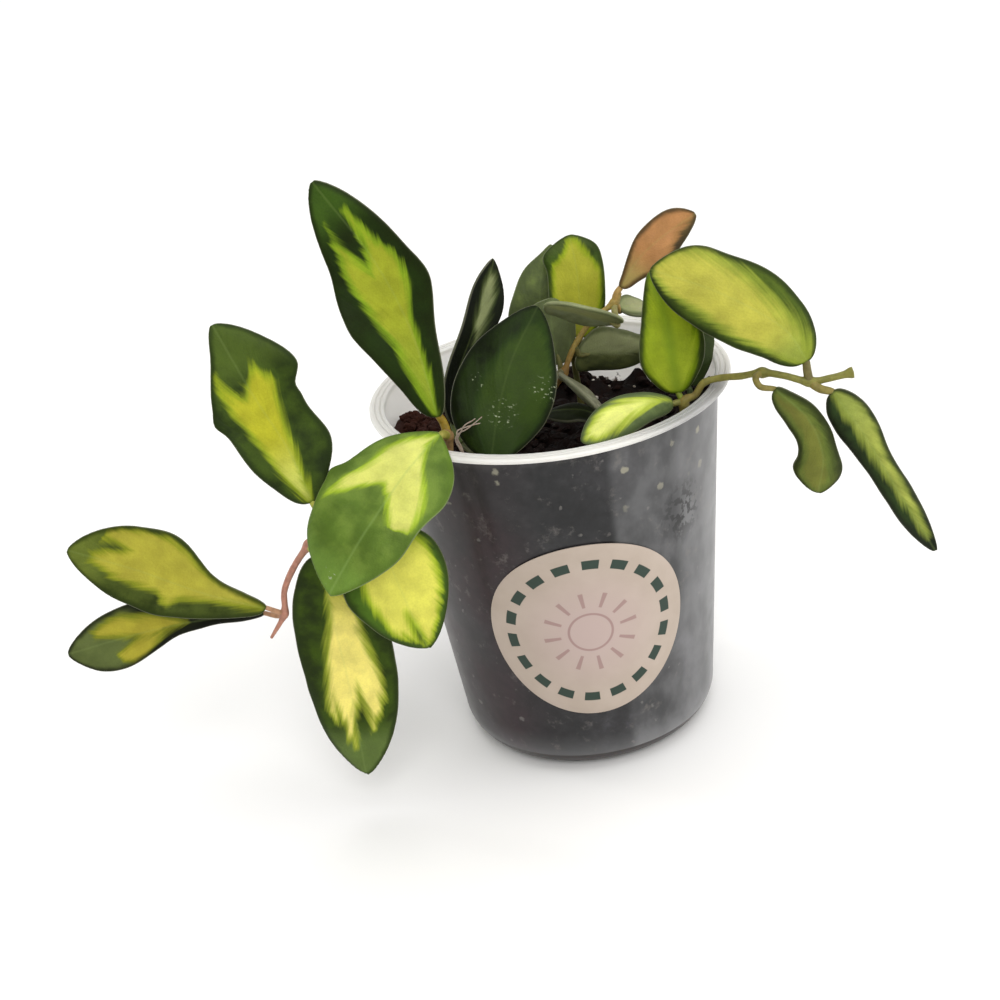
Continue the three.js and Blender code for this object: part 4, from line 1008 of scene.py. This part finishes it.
def waxy_blade(name, leaf):
    """A thick variegated leaf: dark green margin, yellow middle that breaks into streaks along
    the veins, fine down that dulls its wax, and a greyer underside."""
    margin_green, green, tip, fringe, cream, foot = (paint(colour) for colour in leaf["colours"])
    length = rib_length(leaf)
    material, tree, sockets = start_material(name, {
        "IOR": 1.45, "Specular IOR Level": 0.12, "Subsurface Weight": 0.1,
        "Subsurface Scale": 0.0012, "Subsurface Radius": (0.7, 1, 0.2)})
    inside, margin, under, place, vein = [
        put(tree, "Attribute", [], attribute_name=key).node.outputs[output]
        for key, output in (("depth", "Fac"), ("margin", "Fac"), ("under", "Fac"),
                            ("flat", "Vector"), ("vein", "Vector"))]
    aside, along, _ = put(tree, "SeparateXYZ", [place]).node.outputs
    # Each pattern has its size in millimetres both ways. The first two run along the slanting
    # side veins, which makes streaks about 2 mm wide and 20 mm long, and threads half a
    # millimetre wide between them. The others are blots, clouds and fine cells.
    streaks, threads, blots, cloud, cells = [
        put(tree, "TexNoise", {
            "Vector": put(tree, "VectorMath", [source, (1 / first, 1 / second, 1)],
                          operation="MULTIPLY"),
            "Scale": 1, "Detail": detail})
        for source, first, second, detail in (
            (vein, 4.545, 8.333, 2), (vein, 1.4286, 5, 2), (place, 6.25, 6.25, 4),
            (place, 6.667, 6.667, 5), (place, 0.5, 0.5, 2))]
    ragged = put(tree, "Math", [streaks, 3.4, -2.4], operation="MULTIPLY_ADD")
    finer = put(tree, "Math", [threads, 1.4, ragged], operation="MULTIPLY_ADD")
    depth = put(tree, "Math", [finer, inside], operation="ADD")
    near_foot = put(tree, "MapRange", [along, 0.45 * length, 0.1 * length], **SMOOTH)
    yellows = put(tree, "Mix", {0: near_foot, 6: cream, 7: foot}, data_type="RGBA")
    leaning = put(tree, "Math", [inside, 0.03, blots], operation="MULTIPLY_ADD")
    uneven = put(tree, "Math", [blots, -2.2, margin], operation="MULTIPLY_ADD")
    off_middle = put(tree, "Math", [aside], operation="ABSOLUTE")
    tip_start = leaf.get("tip_start", 0.77) * length
    line_width, line_strength, line_colour = leaf.get("midrib", (0.5, 0.1, "#93a860"))
    # Each layer starts at one value, is full at another, and then hides a share of what is under
    # it: two greens in blots, the greener tip, the yellow with its fringe, the darker margin
    # about 1 mm wide, the thin rim where down catches the light.
    colour = margin_green
    for value, start, full, share, tint in (
            (leaning, 0.22, 0.52, 1, green), (along, tip_start, tip_start + 0.13 * length, 0.85, tip),
            (depth, -1.3, 0.5, 1, fringe), (depth, -0.1, 2.2, 1, yellows),
            (uneven, 0.9, -0.7, 0.85, margin_green), (margin, 0.35, 0.05, 0.3, paint("#9e9e84"))):
        shown = put(tree, "MapRange", [value, start, full, 0, share], **SMOOTH)
        colour = put(tree, "Mix", {0: shown, 6: colour, 7: tint}, data_type="RGBA")
    for pattern, low, dark, share in ((cloud, 0.32, "#c9c9c9", 0.6), (cells, 0.35, "#d4d4d4", 0.2)):
        tone = put(tree, "ValToRGB", [pattern], [(low, dark), (0.62, "#ffffff")])
        colour = put(tree, "Mix", {0: share, 6: colour, 7: tone}, data_type="RGBA",
                     blend_type="MULTIPLY")
    line = put(tree, "MapRange", [off_middle, line_width, 0, 0, line_strength], **SMOOTH)
    layers = [(line, line_colour)]
    if leaf.get("painted_light_marks"):
        # Dust and dried drops with painted glints: pale flecks under 1 mm wide, gathered round a few
        # places.
        fleck_pattern = put(tree, "VectorMath", [place, (1 / 1.25, 1 / 0.8333, 1)], operation="MULTIPLY")
        fleck_pattern = put(tree, "TexNoise", {"Vector": fleck_pattern, "Scale": 1, "Detail": 3})
        flecks = put(tree, "MapRange", [fleck_pattern, 0.59, 0.68, 0, 0.75], **SMOOTH)
        glint_share = 0
        for x, y, reach in leaf["painted_light_marks"]:
            away = put(tree, "VectorMath", [place, (x, y, 0)], operation="DISTANCE")
            near = put(tree, "MapRange", [away, reach, reach * 0.4], **SMOOTH)
            glint_share = put(tree, "Math", [glint_share, near], operation="MAXIMUM")
        glint_share = put(tree, "Math", [flecks, glint_share], operation="MULTIPLY")
        layers.append((glint_share, "#a3ac8c"))
    greyed = put(tree, "Math", [under, 0.3], operation="MULTIPLY")
    for share, tint in (*layers, (greyed, "#767e5c")):
        colour = put(tree, "Mix", {0: share, 6: colour, 7: paint(tint)}, data_type="RGBA")
    tree.links.new(colour, sockets["Base Color"])
    gloss = put(tree, "MapRange", [cloud, 0, 1, 0.38, 0.6])
    tree.links.new(gloss, sockets["Roughness"])
    relief = put(tree, "Math", [streaks, 2.5, cells], operation="MULTIPLY_ADD")
    bump = put(tree, "Bump", {"Strength": 0.4, "Distance": 0.0002, "Height": relief})
    tree.links.new(bump, sockets["Normal"])
    return material


for name, leaf in LEAVES.items():
    blade = leaf_skin(name, leaf)
    blade.data.materials.append(waxy_blade(name + "_wax", leaf))
    blade.data.materials.append(waxy_shoot(name + "_stalk", *[leaf["stalk"]] * 3))
    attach(blade, "root")
    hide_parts(name)

# The dry twig. A dead pale shoot, thin and crooked, that stands in the compost at the foot of
# the plant and has frayed into strands.
TWIG_STRANDS = 3
STRAND_RADIUS = 0.34
STRANDS_APART = 0.22
STRANDS_FRAYED = 0.8
TWIG_SEED = 5
TWIG_PATH = [(-20.5, -31, 80), (-22, -34.5, 93), (-24.3, -36, 103), (-25.4, -36.5, 107.6),
             (-23.6, -37, 110.4), (-19, -37, 112.3)]


def strand_radius(share, where):
    return STRAND_RADIUS - 0.2 * share + 0.05 * noise.noise(where * 2)


# Noise vectors start from the clock unless they have a seed, and the strands bend by them.
noise.seed_set(TWIG_SEED)
twig_points, twig_faces = [], []
for strand in range(TWIG_STRANDS):
    strand_path = smooth_path(TWIG_PATH, 90)
    frayed = []
    for step, (where, heading) in enumerate(strand_path):
        share = step / (len(strand_path) - 1)
        way = 2 * math.pi * strand / TWIG_STRANDS + 9 * share
        apart = STRANDS_APART + STRANDS_FRAYED * share ** 4
        aside = Vector((math.cos(way), 0, math.sin(way))) * apart
        crooked = 0.5 * share * noise.noise_vector(where * 0.35 + Vector((9 * strand, 0, 0)))
        frayed.append((where + aside + crooked, heading))
    strand_points, strand_faces = round_skin(frayed, strand_radius, 8)
    first = len(twig_points)
    twig_points += strand_points
    twig_faces += [tuple(first + i for i in face) for face in strand_faces]
twig = skin("dry_twig", twig_points, twig_faces)
twig.data.materials.append(waxy_shoot("dry_bark", "#9a8a7c", "#b8aca0", "#d0c8c0"))
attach(twig, "root")
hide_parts("dry_root")

# The studio. A wide pale floor under two broad soft lights, from the front and from overhead,
# and two panels that the wall of the pot mirrors. The camera has the photograph's angle.
EYE_DISTANCE = 0.5
EYE_LIFT = math.radians(22.3)
EYE_YAW = math.radians(2.03)
EYE_PITCH = math.radians(-3.5)
EYE_ROLL = math.radians(7.95)
FOCAL_PIXELS = 1811
PHOTO_PIXELS = 1000
SENSOR = 36
FLOOR_REACH = 6000

camera_data = bpy.data.cameras.new("camera")
camera_data.sensor_width = SENSOR
camera_data.lens = SENSOR * FOCAL_PIXELS / PHOTO_PIXELS
camera_data.clip_start = 0.01
camera = bpy.data.objects.new("camera", camera_data)
bpy.context.scene.collection.objects.link(camera)
forward = Vector((0, math.cos(EYE_LIFT), -math.sin(EYE_LIFT)))
right = Vector((1, 0, 0))
up = right.cross(forward)
eye = Vector((0, 0, POT_HEIGHT * MM)) - forward * EYE_DISTANCE
for axis_name, angle in (("up", EYE_YAW), ("right", EYE_PITCH), ("forward", EYE_ROLL)):
    axis = {"up": up, "right": right, "forward": forward}[axis_name]
    turn = Matrix.Rotation(angle, 3, axis)
    forward, right, up = turn @ forward, turn @ right, turn @ up
camera.matrix_world = Matrix.Translation(eye) @ Matrix((right, up, -forward)).transposed().to_4x4()
bpy.context.scene.camera = camera

corners = [(x * FLOOR_REACH, y * FLOOR_REACH, 0) for x, y in ((-1, -1), (1, -1), (1, 1), (-1, 1))]
floor = skin("floor", corners, [(0, 1, 2, 3)])
floor.data.materials.append(start_material("pale_floor", {
    "Base Color": paint("#f4f3f1"), "Roughness": 0.95, "Specular IOR Level": 0.1})[0])


def aim(holder, place, target):
    """Stands a light at a place and turns it to a target, both in metres."""
    bpy.context.scene.collection.objects.link(holder)
    holder.location = place
    holder.rotation_euler = (Vector(target) - Vector(place)).to_track_quat("-Z", "Y").to_euler()


# The two wide soft lights give the same light all over the floor. Each has an irradiance in
# watts a square metre and a width in degrees.
for name, place, irradiance, width in (("key", (0.05, -0.85, 0.75), 1.15, 30),
                                       ("overhead", (0.15, 0.1, 1), 1.35, 60)):
    sun = bpy.data.lights.new(name, "SUN")
    sun.energy = irradiance
    sun.angle = math.radians(width)
    aim(bpy.data.objects.new(name, sun), place, (0, 0, 0))

# Two panels that the glossy wall mirrors: a broad one on the right, a narrow one on the left.
for name, place, size, watts in (("right_panel", (0.6, -0.24, 0.25), (0.55, 0.8), 2.3),
                                 ("left_panel", (-0.62, 0.3, 0.2), (0.1, 0.6), 1.0)):
    lamp = bpy.data.lights.new(name, "AREA")
    lamp.shape = "RECTANGLE"
    lamp.size, lamp.size_y = size
    lamp.energy = watts
    aim(bpy.data.objects.new(name, lamp), place, (0, 0, 0.06))

world = bpy.data.worlds.new("studio")
bpy.context.scene.world = world
world.use_nodes = True
world.node_tree.nodes["Background"].inputs["Color"].default_value = paint("#ffffff")
world.node_tree.nodes["Background"].inputs["Strength"].default_value = 0.5
bpy.context.scene.view_settings.view_transform = "Standard"
